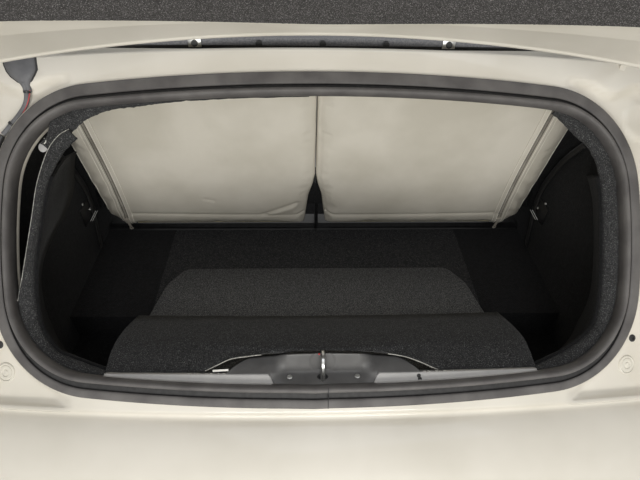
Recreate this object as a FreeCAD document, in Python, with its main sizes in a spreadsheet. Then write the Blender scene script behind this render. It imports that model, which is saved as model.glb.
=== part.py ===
import FreeCAD, Part
import math
import os

import Sketcher

# Luggage compartment section of a small open car, seen from behind: the painted frame round the
# opening with its rubber seal, the carpeted tub with its wheelhouses, the sill with its striker,
# two folding rear seatbacks, and the lid on its two hinges and two gas struts.
# X points right, Y forward, Z up. The section stands on its two floor rails, with the origin in
# the middle of its footprint. The opening lies in a tilted plane and is crowned across the car.

doc = FreeCAD.newDocument("BootSection")
sheet = doc.addObject("Spreadsheet::Sheet", "Sizes")

# Driving sizes: name, value in millimetres or degrees. Widths across the car and lengths up the
# opening that must keep together are given as steps from one another, and worked out below.
SIZES = (
    # opening: place and tilt of its plane, crown across the car, and its rounded outline
    ("plane_y", -125), ("plane_z", 428), ("plane_tilt", 48), ("crown_radius", 2600),
    ("opening_inset", 17), ("opening_half_height", 232),
    ("opening_top_radius", 5450), ("opening_side_radius", 870), ("opening_corner_radius", 145),
    # rubber seal on the flange of the opening
    ("seal_lip_width", 21), ("seal_lip_thick", 4), ("seal_bulb_width", 17),
    ("seal_bulb_height", 16), ("seal_round", 6),
    # painted sheet round the opening: widths of its parts beyond the opening
    ("sheet_thick", 4), ("flange_reach", 12), ("side_depth", 92), ("lower_land", 30),
    ("upper_land", 58), ("ear_width", 142), ("ear_beyond_hinge", 45),
    ("gutter_depth", 15), ("gutter_in", 24), ("gutter_inset", 34), ("gutter_run", 103),
    ("gutter_below", 24), ("gutter_above", 30), ("fender_rise", 50), ("fender_width", 30),
    # luggage tub: inside of its carpets
    ("tub_half_width", 520), ("tub_rear", -272), ("tub_front", 445), ("tub_floor", 110),
    ("carpet_thick", 8), ("well_width", 155), ("well_floor", 45), ("well_rear", -240),
    ("well_front", -10), ("tub_top", 640), ("tub_top_front", 510), ("carpet_front", 268),
    # loose carpeted board on the floor
    ("board_thick", 10), ("board_gap", 6), ("board_taper", 59), ("board_shoulder", 24),
    ("board_middle_y", -43), ("board_front", 122),
    # wheel arches
    ("wheel_y", 135), ("wheel_z", -10), ("wheel_radius", 330), ("arch_lip", 14),
    # rails and beams below the floor
    ("rail_half_width", 30), ("rail_inset", 200), ("rail_wall", 5), ("rail_rear", -300),
    ("beam_height", 60), ("beam_depth", 44),
    # rear seatbacks
    ("seat_foot_y", 255), ("seat_foot_z", 133), ("seat_lean", 15), ("seat_below_rail", 29.9),
    ("seat_thick", 80), ("seat_side_room", 15), ("seat_inner", 10), ("seat_pivot_y", 290),
    ("seat_pivot_z", 215), ("seat_round", 16),
    # hinge pins, their running clearance, and plates
    ("pin_radius", 6), ("pin_clearance", 0.05), ("plate_thick", 5), ("eye_radius", 14),
    ("bracket_half", 4), ("side_gap", 0.3),
    # hood rail
    ("hood_rail_above", 75.4), ("hood_rail_level", 21.8), ("hood_rail_depth", 14),
    ("hood_rail_tall", 16), ("hood_rail_past_ear", 30), ("hood_bracket_in", 11),
    # striker
    ("striker_radius", 4), ("striker_height", 16), ("bolt_radius", 5),
    # wiring
    ("cable_radius", 3.5),
    # side liner's edge and the plugs of the gutter
    ("liner_reach", 46), ("liner_run", 154), ("liner_below_top", 60),
    ("plug_inset", 70), ("plug_below_corner", 22), ("plug_radius", 16), ("plug_lift", 0.1),
    # lid
    ("lid_border", 66), ("lid_inset", 50), ("lid_above", 43), ("lid_below", 26),
    ("lid_low", 26), ("lid_high", 50), ("lid_corner_upper", 60), ("lid_corner_lower", 150),
    ("lid_open", 95), ("skirt_low", 10),
    ("hinge_beyond_lid", 10), ("hinge_w", 28), ("hinge_inset", 42),
    # gas struts
    ("strut_inset", 10), ("strut_behind_hinge", 90), ("strut_w", -50), ("strut_lid_behind", 385),
    ("strut_lid_w", -48), ("strut_cover", 45), ("strut_inside", 25), ("strut_radius", 9),
    ("rod_radius", 4), ("stud_radius", 4), ("socket_half", 6),
)

for row, (name, value) in enumerate(SIZES, start=1):
    sheet.set("A%d" % row, name)
    sheet.set("B%d" % row, str(value))
    sheet.setAlias("B%d" % row, name)
doc.recompute()


class Dimensions:
    """Reads a driving size from the sheet by its name, and works out those that follow."""

    def __getattr__(self, name):
        return float(sheet.get(name))

    # half widths across the car

    @property
    def opening_half_width(self):
        return self.tub_half_width - self.opening_inset

    @property
    def surround_half_width(self):
        return self.tub_half_width + self.side_depth

    @property
    def gutter_half_width(self):
        return self.surround_half_width - self.gutter_inset

    @property
    def gutter_start(self):
        return self.opening_half_width - self.gutter_run

    @property
    def liner_start(self):
        return self.opening_half_width - self.liner_run

    @property
    def ear_inner(self):
        return self.surround_half_width - self.ear_width

    @property
    def hood_rail_half(self):
        return self.ear_inner + self.hood_rail_past_ear

    @property
    def lid_half_width(self):
        return self.surround_half_width - self.lid_inset

    @property
    def hinge_u(self):
        return self.lid_half_width - self.hinge_inset

    @property
    def strut_u(self):
        return self.lid_half_width - self.strut_inset

    @property
    def plug_u(self):
        return self.gutter_half_width - self.plug_inset

    @property
    def floor_half_width(self):
        return self.tub_half_width - self.well_width

    @property
    def board_rear_half(self):
        return self.floor_half_width - self.board_gap

    @property
    def seat_outer(self):
        return self.tub_half_width - self.seat_side_room

    # places up the slope of the opening

    @property
    def surround_lower(self):
        return self.opening_half_height + self.lower_land

    @property
    def surround_upper(self):
        return self.opening_half_height + self.upper_land

    @property
    def gutter_lower(self):
        return self.opening_half_height + self.gutter_below

    @property
    def gutter_upper(self):
        return self.opening_half_height + self.gutter_above

    @property
    def liner_upper(self):
        return self.opening_half_height - self.liner_below_top

    @property
    def plug_v(self):
        return self.opening_half_height - self.plug_below_corner

    @property
    def lid_upper(self):
        return self.opening_half_height + self.lid_above

    @property
    def lid_lower(self):
        return self.opening_half_height + self.lid_below

    @property
    def hinge_v(self):
        return self.lid_upper + self.hinge_beyond_lid

    @property
    def ear_upper(self):
        return self.hinge_v + self.ear_beyond_hinge

    @property
    def strut_body_v(self):
        return self.hinge_v - self.strut_behind_hinge

    @property
    def strut_lid_v(self):
        return self.hinge_v - self.strut_lid_behind

    @property
    def sill_v(self):
        """Lower edge of the clear opening, inside the seal."""
        return -self.opening_half_height + self.seal_bulb_width + 1

    # height of the seatbacks, which end below the hood rail

    @property
    def seat_tall(self):
        lean = math.cos(math.radians(self.seat_lean))
        return (hood_rail_centre().z - self.seat_foot_z) / lean - self.seat_below_rail


dim = Dimensions()
ORIGIN = FreeCAD.Vector(0, 0, 0)
X_AXIS = FreeCAD.Vector(1, 0, 0)
Y_AXIS = FreeCAD.Vector(0, 1, 0)
Z_AXIS = FreeCAD.Vector(0, 0, 1)
FAR = 1500.0
DEEP = 300.0
NODES = []


def point(x, y, z):
    return FreeCAD.Vector(x, y, z)


def box(x_range, y_range, z_range):
    """Box between two values along each axis."""
    low = point(x_range[0], y_range[0], z_range[0])
    return Part.makeBox(
        x_range[1] - x_range[0], y_range[1] - y_range[0], z_range[1] - z_range[0], low)


def rod(start, end, radius):
    """Round bar between two points."""
    along = end - start
    return Part.makeCylinder(radius, along.Length, start, along)


def prism(wire, low, high):
    """Straight block from a flat outline lying in the XY plane."""
    face = Part.Face(wire)
    face.translate(point(0, 0, low))
    return face.extrude(point(0, 0, high - low))


def polygon(corners):
    """Flat outline in the XY plane from its corners."""
    return Part.makePolygon([point(x, y, 0) for x, y in corners + corners[:1]])


def mirrored(shape):
    return shape.mirror(ORIGIN, X_AXIS)


def placed_in_plane():
    """Placement of the opening's own frame: u right, v up its slope, w out of it."""
    turn = FreeCAD.Rotation(X_AXIS, dim.plane_tilt)
    return FreeCAD.Placement(point(0, dim.plane_y, dim.plane_z), turn)


def placed_on_lid():
    """Placement of the lid's pieces, drawn shut in the opening's frame and swung open."""
    hinge = point(0, dim.hinge_v, dim.hinge_w)
    swing = FreeCAD.Placement(ORIGIN, FreeCAD.Rotation(X_AXIS, -dim.lid_open), hinge)
    return placed_in_plane().multiply(swing)


def placed_on_seat():
    """Placement of a seatback's frame: x right, y up its rear face, z out to the rear."""
    turn = FreeCAD.Rotation(X_AXIS, 90 + dim.seat_lean)
    return FreeCAD.Placement(point(0, dim.seat_foot_y, dim.seat_foot_z), turn)


def add_node(name, shape, placement=None):
    """Sub-part from a finished shape."""
    feature = doc.addObject("Part::Feature", name)
    feature.Label = name
    if shape.ShapeType == "Compound" and len(shape.Solids) > 1:
        feature.Shape = Part.makeCompound([solid.removeSplitter() for solid in shape.Solids])
    else:
        feature.Shape = shape.removeSplitter()
    if placement is not None:
        feature.Placement = placement
    NODES.append(feature)
    return feature


def add_pair(name, shape, placement=None):
    """Right sub-part and its mirror image on the left."""
    add_node(name + "_right", shape, placement)
    add_node(name + "_left", mirrored(shape), placement)


def add_both(name, shape, placement=None):
    """One sub-part of two like pieces that don't touch, right and left."""
    add_node(name, Part.makeCompound([shape, mirrored(shape)]), placement)


def add_profile(name, role, rows, length, offset):
    """Straight sub-part: an outline of straight edges, one row per corner with its two
    coordinates as formulas of the sheet, padded square to its plane from the offset."""
    body = doc.addObject("PartDesign::Body", name)
    body.Label = name
    plane = [item for item in body.Origin.OriginFeatures if item.Role == role][0]
    sketch = body.newObject("Sketcher::SketchObject", name + "_outline")
    sketch.AttachmentSupport = [(plane, "")]
    sketch.MapMode = "FlatFace"
    count = len(rows)
    turn = 2 * math.pi / count
    start = [point(math.cos(turn * step), math.sin(turn * step), 0) for step in range(count)]
    for index in range(count):
        sketch.addGeometry(Part.LineSegment(start[index], start[(index + 1) % count]), False)
    for index in range(count):
        sketch.addConstraint(Sketcher.Constraint("Coincident", index, 2, (index + 1) % count, 1))
    for index, row in enumerate(rows):
        for kind, value, cell in zip(("DistanceX", "DistanceY"), start[index], row):
            place = sketch.addConstraint(Sketcher.Constraint(kind, -1, 1, index, 1, value))
            sketch.setExpression("Constraints[%d]" % place, cell)
    pad = body.newObject("PartDesign::Pad", name + "_pad")
    pad.Profile = sketch
    pad.setExpression("Length", length)
    axis = {"YZ_Plane": "x", "XZ_Plane": "y", "XY_Plane": "z"}[role]
    body.setExpression("Placement.Base." + axis, offset)
    sketch.Visibility = False
    NODES.append(body)
    return body


# Crowned shapes of the opening's frame

def crown_slab(low, high, half_u=700.0, v_low=-700.0, v_high=700.0):
    """Layer between two heights over the crowned face of the opening."""
    radius = dim.crown_radius

    def height(level):
        return math.sqrt((radius + level) ** 2 - half_u ** 2) - radius

    upper = Part.Arc(
        point(-half_u, v_low, height(high)), point(0, v_low, high),
        point(half_u, v_low, height(high)))
    lower = Part.Arc(
        point(half_u, v_low, height(low)), point(0, v_low, low),
        point(-half_u, v_low, height(low)))
    right = Part.LineSegment(upper.EndPoint, lower.StartPoint)
    left = Part.LineSegment(lower.EndPoint, upper.StartPoint)
    wire = Part.Wire([edge.toShape() for edge in (upper, right, lower, left)])
    return Part.Face(wire).extrude(point(0, v_high - v_low, 0))


def on_crown(u, v, level):
    """Place on the crowned face at a level above it, with the direction square to the face."""
    reach = dim.crown_radius + level
    turn = math.asin(u / reach)
    normal = point(math.sin(turn), 0, math.cos(turn))
    return normal * reach + point(0, v, -dim.crown_radius), normal


def crown_drop(u):
    """Depth of the crowned face below its middle, this far out."""
    return dim.crown_radius - math.sqrt(dim.crown_radius ** 2 - u ** 2)


def hood_rail_centre():
    """Middle of the hood rail, which stands above the painted ears at its brackets."""
    level = dim.hood_rail_level - crown_drop(dim.hood_rail_half - dim.hood_bracket_in)
    local = point(0, dim.opening_half_height + dim.hood_rail_above, level)
    return placed_in_plane().multVec(local)


def opening_wire(offset):
    """Outline of the opening, grown by an offset: four wide arcs joined by four corner arcs."""
    top_radius = dim.opening_top_radius
    side_radius = dim.opening_side_radius
    corner_radius = dim.opening_corner_radius
    top_centre = point(0, dim.opening_half_height - top_radius, 0)
    side_centre = point(dim.opening_half_width - side_radius, 0, 0)
    top_reach = top_radius - corner_radius
    side_reach = side_radius - corner_radius
    span = side_centre - top_centre
    along = (top_reach ** 2 - side_reach ** 2 + span.Length ** 2) / (2 * span.Length)
    across = math.sqrt(top_reach ** 2 - along ** 2)
    unit = FreeCAD.Vector(span).normalize()
    centre = top_centre + unit * along + point(unit.y, -unit.x, 0) * across
    to_top = (centre - top_centre).normalize()
    to_side = (centre - side_centre).normalize()
    top_joint = top_centre + to_top * (top_radius + offset)
    side_joint = side_centre + to_side * (side_radius + offset)
    middle = centre + (to_top + to_side).normalize() * (corner_radius + offset)
    top_middle = point(0, dim.opening_half_height + offset, 0)
    side_middle = point(dim.opening_half_width + offset, 0, 0)

    def flip(place, sign_x, sign_y):
        return point(place.x * sign_x, place.y * sign_y, 0)

    arcs = [
        (flip(top_joint, -1, 1), top_middle, top_joint),
        (top_joint, middle, side_joint),
        (side_joint, side_middle, flip(side_joint, 1, -1)),
        (flip(side_joint, 1, -1), flip(middle, 1, -1), flip(top_joint, 1, -1)),
        (flip(top_joint, 1, -1), flip(top_middle, 1, -1), flip(top_joint, -1, -1)),
        (flip(top_joint, -1, -1), flip(middle, -1, -1), flip(side_joint, -1, -1)),
        (flip(side_joint, -1, -1), flip(side_middle, -1, 1), flip(side_joint, -1, 1)),
        (flip(side_joint, -1, 1), flip(middle, -1, 1), flip(top_joint, -1, 1)),
    ]
    return Part.Wire([Part.Arc(*arc).toShape() for arc in arcs])


def opening_block(offset):
    return prism(opening_wire(offset), -DEEP, DEEP)


def crowned_ring(inner, outer, low, high):
    """Band round the opening between two offsets and two heights."""
    band = opening_block(outer).cut(opening_block(inner))
    return band.common(crown_slab(low, high))


# Painted surround of the opening

def gutter_block(grow):
    """Channel beside the opening, grown on all sides."""
    room = box(
        (dim.gutter_start - grow, dim.gutter_half_width + grow),
        (-dim.gutter_lower - grow, dim.gutter_upper + grow), (-DEEP, DEEP))
    return room.cut(opening_block(dim.gutter_in - grow))


def make_surround():
    """Painted sheet round the opening: land, gutters, upturned fender edges."""
    thick = dim.sheet_thick
    half = dim.surround_half_width
    lower, upper = -dim.surround_lower, dim.surround_upper
    land = prism(polygon([
        (-half, lower), (half, lower), (half, dim.ear_upper), (dim.ear_inner, dim.ear_upper),
        (dim.ear_inner, upper), (-dim.ear_inner, upper), (-dim.ear_inner, dim.ear_upper),
        (-half, dim.ear_upper)]), -DEEP, DEEP)
    sheet_metal = land.common(crown_slab(-thick, 0))
    inside = gutter_block(0)
    trough = gutter_block(thick).common(crown_slab(-dim.gutter_depth - thick, 0))
    for channel, hollow in ((trough, inside), (mirrored(trough), mirrored(inside))):
        sheet_metal = sheet_metal.fuse(channel).cut(
            hollow.common(crown_slab(-dim.gutter_depth, 5)))
    step = half - dim.fender_width
    fender = box((step, half), (lower, dim.ear_upper), (-DEEP, DEEP))
    web = box((step, step + thick), (lower, dim.ear_upper), (-DEEP, DEEP))
    rise = dim.fender_rise
    side = fender.common(crown_slab(rise - thick, rise)).fuse(web.common(crown_slab(-thick, rise)))
    for edge in (side, mirrored(side)):
        sheet_metal = sheet_metal.fuse(edge)
    front_flange = box((-dim.ear_inner, dim.ear_inner), (upper - thick, upper), (-DEEP, DEEP))
    turned_down = 30
    sheet_metal = sheet_metal.fuse(front_flange.common(crown_slab(-turned_down, 0)))
    return sheet_metal.cut(opening_block(-dim.flange_reach))


surround = make_surround()
panel_joint = dim.gutter_start - 20
middle_cut = box((-panel_joint, panel_joint), (0, FAR), (-DEEP, DEEP))
lower_cut = box((-panel_joint, panel_joint), (-FAR, 0), (-DEEP, DEEP))
side_cut = box((panel_joint, FAR), (-FAR, FAR), (-DEEP, DEEP))
add_node("deck_panel", surround.common(middle_cut), placed_in_plane())
add_node("sill_panel", surround.common(lower_cut), placed_in_plane())
add_pair("quarter_panel", surround.common(side_cut), placed_in_plane())


def make_valance(room):
    """Outer rear skin below the sill: one profile turned about the crown's axis, with some
    extra room behind it."""
    # columns: step down from the land's edge and level of the outer face, then how far the
    # inner face stands back in v and w
    profile = (
        (0, 0, 0, -4), (8, -7, 2, -4), (43, 14, 2, -4), (90, 25, 0, -4),
        (168, 22, 1, -4), (233, -15, 3, -3), (278, -70, 4, -1))
    edge = -dim.surround_lower
    outer = [point(0, edge - down, w) for down, w, dv, dw in profile]
    inner = [point(0, edge - down + dv + room, w + dw - room) for down, w, dv, dw in profile]

    def run(path):
        return [
            Part.makeLine(path[0], path[1]),
            Part.Arc(path[1], path[2], path[3]).toShape(),
            Part.makeLine(path[3], path[4]),
            Part.Arc(path[4], path[5], path[6]).toShape()]

    edges = run(outer) + [Part.makeLine(outer[-1], inner[-1])]
    edges += run(inner) + [Part.makeLine(inner[0], outer[0])]
    face = Part.Face(Part.Wire(Part.__sortEdges__(edges)))
    half_angle = math.degrees(math.asin(dim.surround_half_width / dim.crown_radius))
    axis_point = point(0, 0, -dim.crown_radius)
    face.rotate(axis_point, Y_AXIS, -half_angle)
    valance = face.revolve(axis_point, Y_AXIS, 2 * half_angle)
    valance.Placement = placed_in_plane()
    return valance


ground_clearance = 8
above_ground = box((-FAR, FAR), (-FAR, FAR), (ground_clearance, FAR))
add_node("rear_valance", make_valance(0).common(above_ground))


def make_seal():
    """Rubber seal: flat lip outside, round bulb inside."""
    lip = crowned_ring(-1, dim.seal_lip_width, 0, dim.seal_lip_thick)
    bulb = crowned_ring(-dim.seal_bulb_width, 0, 0, dim.seal_bulb_height)
    top = dim.seal_bulb_height
    crest = []
    for edge in bulb.Edges:
        middle = edge.CenterOfMass
        level = math.hypot(middle.x, middle.z + dim.crown_radius) - dim.crown_radius
        if level > top - 1.0:
            crest.append(edge)
    return bulb.makeFillet(dim.seal_round, crest).fuse(lip)


add_node("opening_seal", make_seal(), placed_in_plane())

# Luggage tub


def tub_block(grow):
    """Inside of the tub with its side wells, grown on all sides."""
    half = dim.tub_half_width + grow
    top_front_y, top_rear_y, rear_top = 180, -30, 300
    side_view = [
        (dim.tub_rear - grow, dim.tub_floor - grow), (dim.tub_front, dim.tub_floor - grow),
        (dim.tub_front, dim.tub_top_front), (top_front_y, dim.tub_top),
        (top_rear_y, dim.tub_top), (dim.tub_rear - grow, rear_top)]
    wire = Part.makePolygon([point(-half, y, z) for y, z in side_view + side_view[:1]])
    tub = Part.Face(wire).extrude(point(2 * half, 0, 0))
    well = box(
        (dim.floor_half_width - grow, half), (dim.well_rear - grow, dim.well_front + grow),
        (dim.well_floor - grow, dim.tub_floor + 1))
    return tub.fuse([well, mirrored(well)])


def under_surround(gap):
    """Everything that lies below the painted surround, less a gap."""
    depth = dim.sheet_thick + gap
    block = crown_slab(-4 * DEEP, -depth, 700, -3 * DEEP, 3 * DEEP)
    block.Placement = placed_in_plane()
    return block


carpet = dim.carpet_thick
steel = carpet + dim.sheet_thick
inside_width = dim.floor_half_width - steel
floor_slice = box((-inside_width, inside_width), (dim.tub_rear, FAR), (-FAR, FAR))
rear_slice = box((-FAR, FAR), (-FAR, dim.tub_rear), (-FAR, FAR))
right_slice = box((inside_width, FAR), (dim.tub_rear, FAR), (-FAR, FAR))
below_land = under_surround(0)
channel = gutter_block(dim.sheet_thick).common(
    crown_slab(-dim.gutter_depth - dim.sheet_thick, 0))
channel = channel.fuse(mirrored(channel))
channel.Placement = placed_in_plane()

valance_room = make_valance(dim.side_gap)
steel_shell = tub_block(steel).cut(tub_block(carpet)).common(below_land).cut(channel)
steel_shell = steel_shell.cut(valance_room)
carpet_shell = tub_block(carpet).cut(tub_block(0)).common(under_surround(carpet)).cut(channel)
open_top = box((-FAR, FAR), (-FAR, FAR), (dim.tub_top - 0.1, FAR))
front_cut = box((-FAR, FAR), (dim.tub_front - 0.1, FAR), (-FAR, FAR))
steel_shell = steel_shell.cut(open_top).cut(front_cut)
carpet_shell = carpet_shell.cut(open_top).cut(front_cut)


def largest(shape):
    """The main solid of a cut shape, without its cut-off slivers."""
    return max(shape.Solids, key=lambda solid: solid.Volume)


add_node("floor_pan", steel_shell.common(floor_slice))
add_node("rear_wall", largest(steel_shell.common(rear_slice)))
add_pair("side_panel", largest(steel_shell.common(right_slice)))


def make_wheel_arch():
    """Arch over the wheel, from the side panel out to its rolled lip."""
    inner = dim.tub_half_width + steel
    outer = dim.surround_half_width
    centre = point(inner, dim.wheel_y, dim.wheel_z)
    room = Part.makeCylinder(dim.wheel_radius, outer - inner, centre, X_AXIS)
    hollow = Part.makeCylinder(dim.wheel_radius - dim.sheet_thick, outer - inner, centre, X_AXIS)
    lip_start = point(outer - dim.sheet_thick, dim.wheel_y, dim.wheel_z)
    lip = Part.makeCylinder(dim.wheel_radius + dim.arch_lip, dim.sheet_thick, lip_start, X_AXIS)
    arch = room.fuse(lip).cut(hollow)
    return arch.common(box((0, FAR), (-FAR, dim.tub_front), (ground_clearance, FAR)))


add_pair("wheel_arch", make_wheel_arch())

carpet_cut = box((-FAR, FAR), (-FAR, dim.carpet_front), (-FAR, FAR))
add_node("floor_carpet", carpet_shell.common(floor_slice).common(carpet_cut))
add_node("rear_carpet", carpet_shell.common(rear_slice))
beam_top = dim.tub_floor + 20
beam_room = box((-FAR, FAR), (dim.carpet_front, FAR), (0, beam_top))
add_pair("side_carpet", carpet_shell.common(right_slice).cut(beam_room))


def make_floor_board():
    """Carpeted board on the floor, narrower towards the seats."""
    rear, middle, front = dim.tub_rear + 2, dim.board_middle_y, dim.board_front
    wide = dim.board_rear_half
    narrow = wide - dim.board_taper
    shoulder = wide - dim.board_shoulder
    shoulder_y = middle + 0.7 * (front - middle)
    board = prism(polygon([
        (-wide, rear), (wide, rear), (wide, middle), (shoulder, shoulder_y), (narrow, front),
        (-narrow, front), (-shoulder, shoulder_y), (-wide, middle)]), 0, dim.board_thick)
    top = [edge for edge in board.Edges if edge.CenterOfMass.z > dim.board_thick - 0.1]
    return board.makeFillet(0.4 * dim.board_thick, top)


add_node(
    "floor_board", make_floor_board(), FreeCAD.Placement(
        point(0, 0, dim.tub_floor), FreeCAD.Rotation()))

# Trim on the sill, drawn in the opening's frame


def make_sill_trim():
    """Moulded strip along the sill, inside the seal, with a lip that hangs into the tub."""
    half = dim.liner_start - dim.side_gap
    sill = dim.sill_v
    tongue_reach, strip_width, lip_wall = 10, 15, 3
    strip_low, strip_high, lip_low = -3, 5, -60
    across = (-half, half)
    strip = box(across, (sill - tongue_reach, sill + strip_width), (-DEEP, DEEP))
    strip = strip.common(crown_slab(strip_low, strip_high))
    strip = strip.common(opening_block(-dim.seal_bulb_width - 0.5))
    lip = box(across, (sill + strip_width - lip_wall, sill + strip_width), (-DEEP, DEEP))
    lip = lip.common(crown_slab(lip_low, strip_high))
    under = dim.sheet_thick + dim.side_gap
    tongue = box(across, (sill - tongue_reach, sill + strip_width), (-DEEP, DEEP)).common(
        crown_slab(-under - lip_wall, -under))
    riser = box(across, (sill, sill + strip_width), (-DEEP, DEEP)).common(
        crown_slab(-under - 1, strip_low + 1)).common(opening_block(-dim.flange_reach - 0.5))
    notch = box((-NOTCH_HALF, NOTCH_HALF), (-FAR, FAR), (-DEEP, DEEP))
    return strip.fuse([lip, tongue, riser]).cut(notch)


NOTCH_HALF = 80
add_node("sill_trim", make_sill_trim(), placed_in_plane())

# The striker's two legs and the middle of its bar, up from the sill's edge
LEGS = (dim.sill_v + 37, dim.sill_v + 7)
BAR_MIDDLE = (LEGS[0] + LEGS[1]) / 2


def make_striker_cover():
    """Moulded cover round the striker, stepped up towards its middle."""
    sill = dim.sill_v
    under = -dim.sheet_thick
    plate_level, block_level, recess_floor = 2.5, 5, 1
    foot, head, tip, shoulder = 78, 88, 177, 118
    trim_line, high = sill + 13, sill + 44
    slope_start = high - 8
    outline = [
        (-foot, sill), (foot, sill), (foot + 4, trim_line), (tip, trim_line + 1),
        (shoulder, slope_start), (head, high), (-head, high), (-shoulder, slope_start),
        (-tip, trim_line + 1), (-foot - 4, trim_line)]
    plate = prism(polygon(outline), -DEEP, DEEP).common(crown_slab(under, plate_level))
    block = box((-53, 53), (sill + 17, high + 1.5), (-DEEP, DEEP)).common(
        crown_slab(under, block_level))
    apron = box((-head, head), (high - 1.5, high + 1.5), (-DEEP, DEEP)).common(
        crown_slab(-60, plate_level))
    recess_v, recess_radius = sill + 34, 17
    recess = rod(
        point(0, recess_v, recess_floor - 20), point(0, recess_v, 40), recess_radius)
    recess = recess.common(crown_slab(recess_floor, 40))
    beside_notch = NOTCH_HALF - dim.side_gap
    trim = box((-FAR, FAR), (-FAR, trim_line + 2.2), (-DEEP, DEEP)).cut(
        box((-beside_notch, beside_notch), (-FAR, FAR), (-DEEP, DEEP)))
    cover = plate.fuse([block, apron]).cut(recess).cut(trim)
    leg_room = dim.striker_radius + 2 * dim.side_gap
    for leg in LEGS:
        cover = cover.cut(rod(point(0, leg, -20), point(0, leg, 40), leg_room))
    return cover


add_node("striker_cover", make_striker_cover(), placed_in_plane())


def make_striker():
    """Steel loop that the latch takes hold of, on its plate under the cover."""
    low, high = -dim.sheet_thick - 2, dim.striker_height
    first, second = LEGS
    bend = 8
    side = bend * (1 - math.sqrt(0.5))
    path = [
        Part.makeLine(point(0, first, low), point(0, first, high - bend)),
        Part.Arc(
            point(0, first, high - bend), point(0, first - side, high - side),
            point(0, first - bend, high)).toShape(),
        Part.makeLine(point(0, first - bend, high), point(0, second + bend, high)),
        Part.Arc(
            point(0, second + bend, high), point(0, second + side, high - side),
            point(0, second, high - bend)).toShape(),
        Part.makeLine(point(0, second, high - bend), point(0, second, low))]
    ring = Part.Wire(Part.makeCircle(dim.striker_radius, point(0, first, low), Z_AXIS))
    loop = Part.Wire(path).makePipeShell([ring], True, False)
    top = -dim.sheet_thick - dim.side_gap
    plate = box((-14, 14), (dim.sill_v - 20, dim.sill_v + 42), (top - 4, top))
    return loop.fuse(plate)


add_node("striker", make_striker(), placed_in_plane())

# Rails and beams below the floor, made as hat sections

RAIL = (
    ("-Sizes.rail_half_width", "0"),
    ("Sizes.rail_half_width", "0"),
    ("Sizes.rail_half_width", "Sizes.tub_floor - Sizes.carpet_thick - Sizes.sheet_thick"),
    ("Sizes.rail_half_width - Sizes.rail_wall",
     "Sizes.tub_floor - Sizes.carpet_thick - Sizes.sheet_thick"),
    ("Sizes.rail_half_width - Sizes.rail_wall", "Sizes.rail_wall"),
    ("-Sizes.rail_half_width + Sizes.rail_wall", "Sizes.rail_wall"),
    ("-Sizes.rail_half_width + Sizes.rail_wall",
     "Sizes.tub_floor - Sizes.carpet_thick - Sizes.sheet_thick"),
    ("-Sizes.rail_half_width", "Sizes.tub_floor - Sizes.carpet_thick - Sizes.sheet_thick"),
)
for side, sign in (("right", ""), ("left", "-")):
    rail = add_profile(
        "floor_rail_" + side, "XZ_Plane", RAIL, "Sizes.tub_front - Sizes.rail_rear",
        "Sizes.tub_front")
    rail.setExpression(
        "Placement.Base.x", sign + "(Sizes.tub_half_width - Sizes.rail_inset)")


def make_liner_flange():
    """Stiff carpeted edge of the side liner, clipped under the painted flange."""
    inner = -dim.liner_reach
    keep = box((dim.liner_start, FAR), (-FAR, dim.liner_upper), (-DEEP, DEEP))
    under = dim.sheet_thick + dim.side_gap
    wall, rim_level = 4, 3
    ledge = crowned_ring(inner, dim.seal_bulb_width, -under - wall, -under)
    rim = crowned_ring(inner, -dim.seal_bulb_width - dim.side_gap, -under - wall, rim_level)
    return ledge.fuse(rim).common(keep)


add_pair("liner_flange", make_liner_flange(), placed_in_plane())


def make_corner_plug():
    """Rubber plug in the lower corner of the gutter."""
    foot, normal = on_crown(dim.plug_u, -dim.plug_v, dim.plug_lift - dim.gutter_depth)
    rim_tall, cap_tall = 3, 4
    rim = Part.makeCylinder(dim.plug_radius, rim_tall, foot, normal)
    cap = Part.makeCone(
        0.8 * dim.plug_radius, 0.55 * dim.plug_radius, cap_tall, foot + normal * rim_tall,
        normal)
    return rim.fuse(cap)


add_pair("corner_plug", make_corner_plug(), placed_in_plane())

# Lid, drawn shut in the opening's frame and swung open by its placement


def lid_wire(grow):
    """Outline of the lid, grown by an offset."""
    half = dim.lid_half_width + grow
    upper = dim.lid_upper + grow
    lower = -dim.lid_lower - grow
    big = dim.lid_corner_lower + grow
    small = max(dim.lid_corner_upper + grow, 12)
    cut = 1 - math.sqrt(0.5)
    edges = [
        Part.makeLine(point(-half + small, upper, 0), point(half - small, upper, 0)),
        Part.Arc(
            point(half - small, upper, 0), point(half - cut * small, upper - cut * small, 0),
            point(half, upper - small, 0)).toShape(),
        Part.makeLine(point(half, upper - small, 0), point(half, lower + big, 0)),
        Part.Arc(
            point(half, lower + big, 0), point(half - cut * big, lower + cut * big, 0),
            point(half - big, lower, 0)).toShape(),
        Part.makeLine(point(half - big, lower, 0), point(-half + big, lower, 0)),
        Part.Arc(
            point(-half + big, lower, 0), point(-half + cut * big, lower + cut * big, 0),
            point(-half, lower + big, 0)).toShape(),
        Part.makeLine(point(-half, lower + big, 0), point(-half, upper - small, 0)),
        Part.Arc(
            point(-half, upper - small, 0), point(-half + cut * small, upper - cut * small, 0),
            point(-half + small, upper, 0)).toShape()]
    return Part.Wire(edges)


# The latch straddles the striker's bar, with its base plate over the housing's cheeks
LATCH_V = (BAR_MIDDLE - 8, BAR_MIDDLE + 18)
BASE_PAST, LINING_PAST = 8, 12

def lid_layer(grow, low, high):
    return prism(lid_wire(grow), -DEEP, DEEP).common(crown_slab(low, high))


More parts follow.
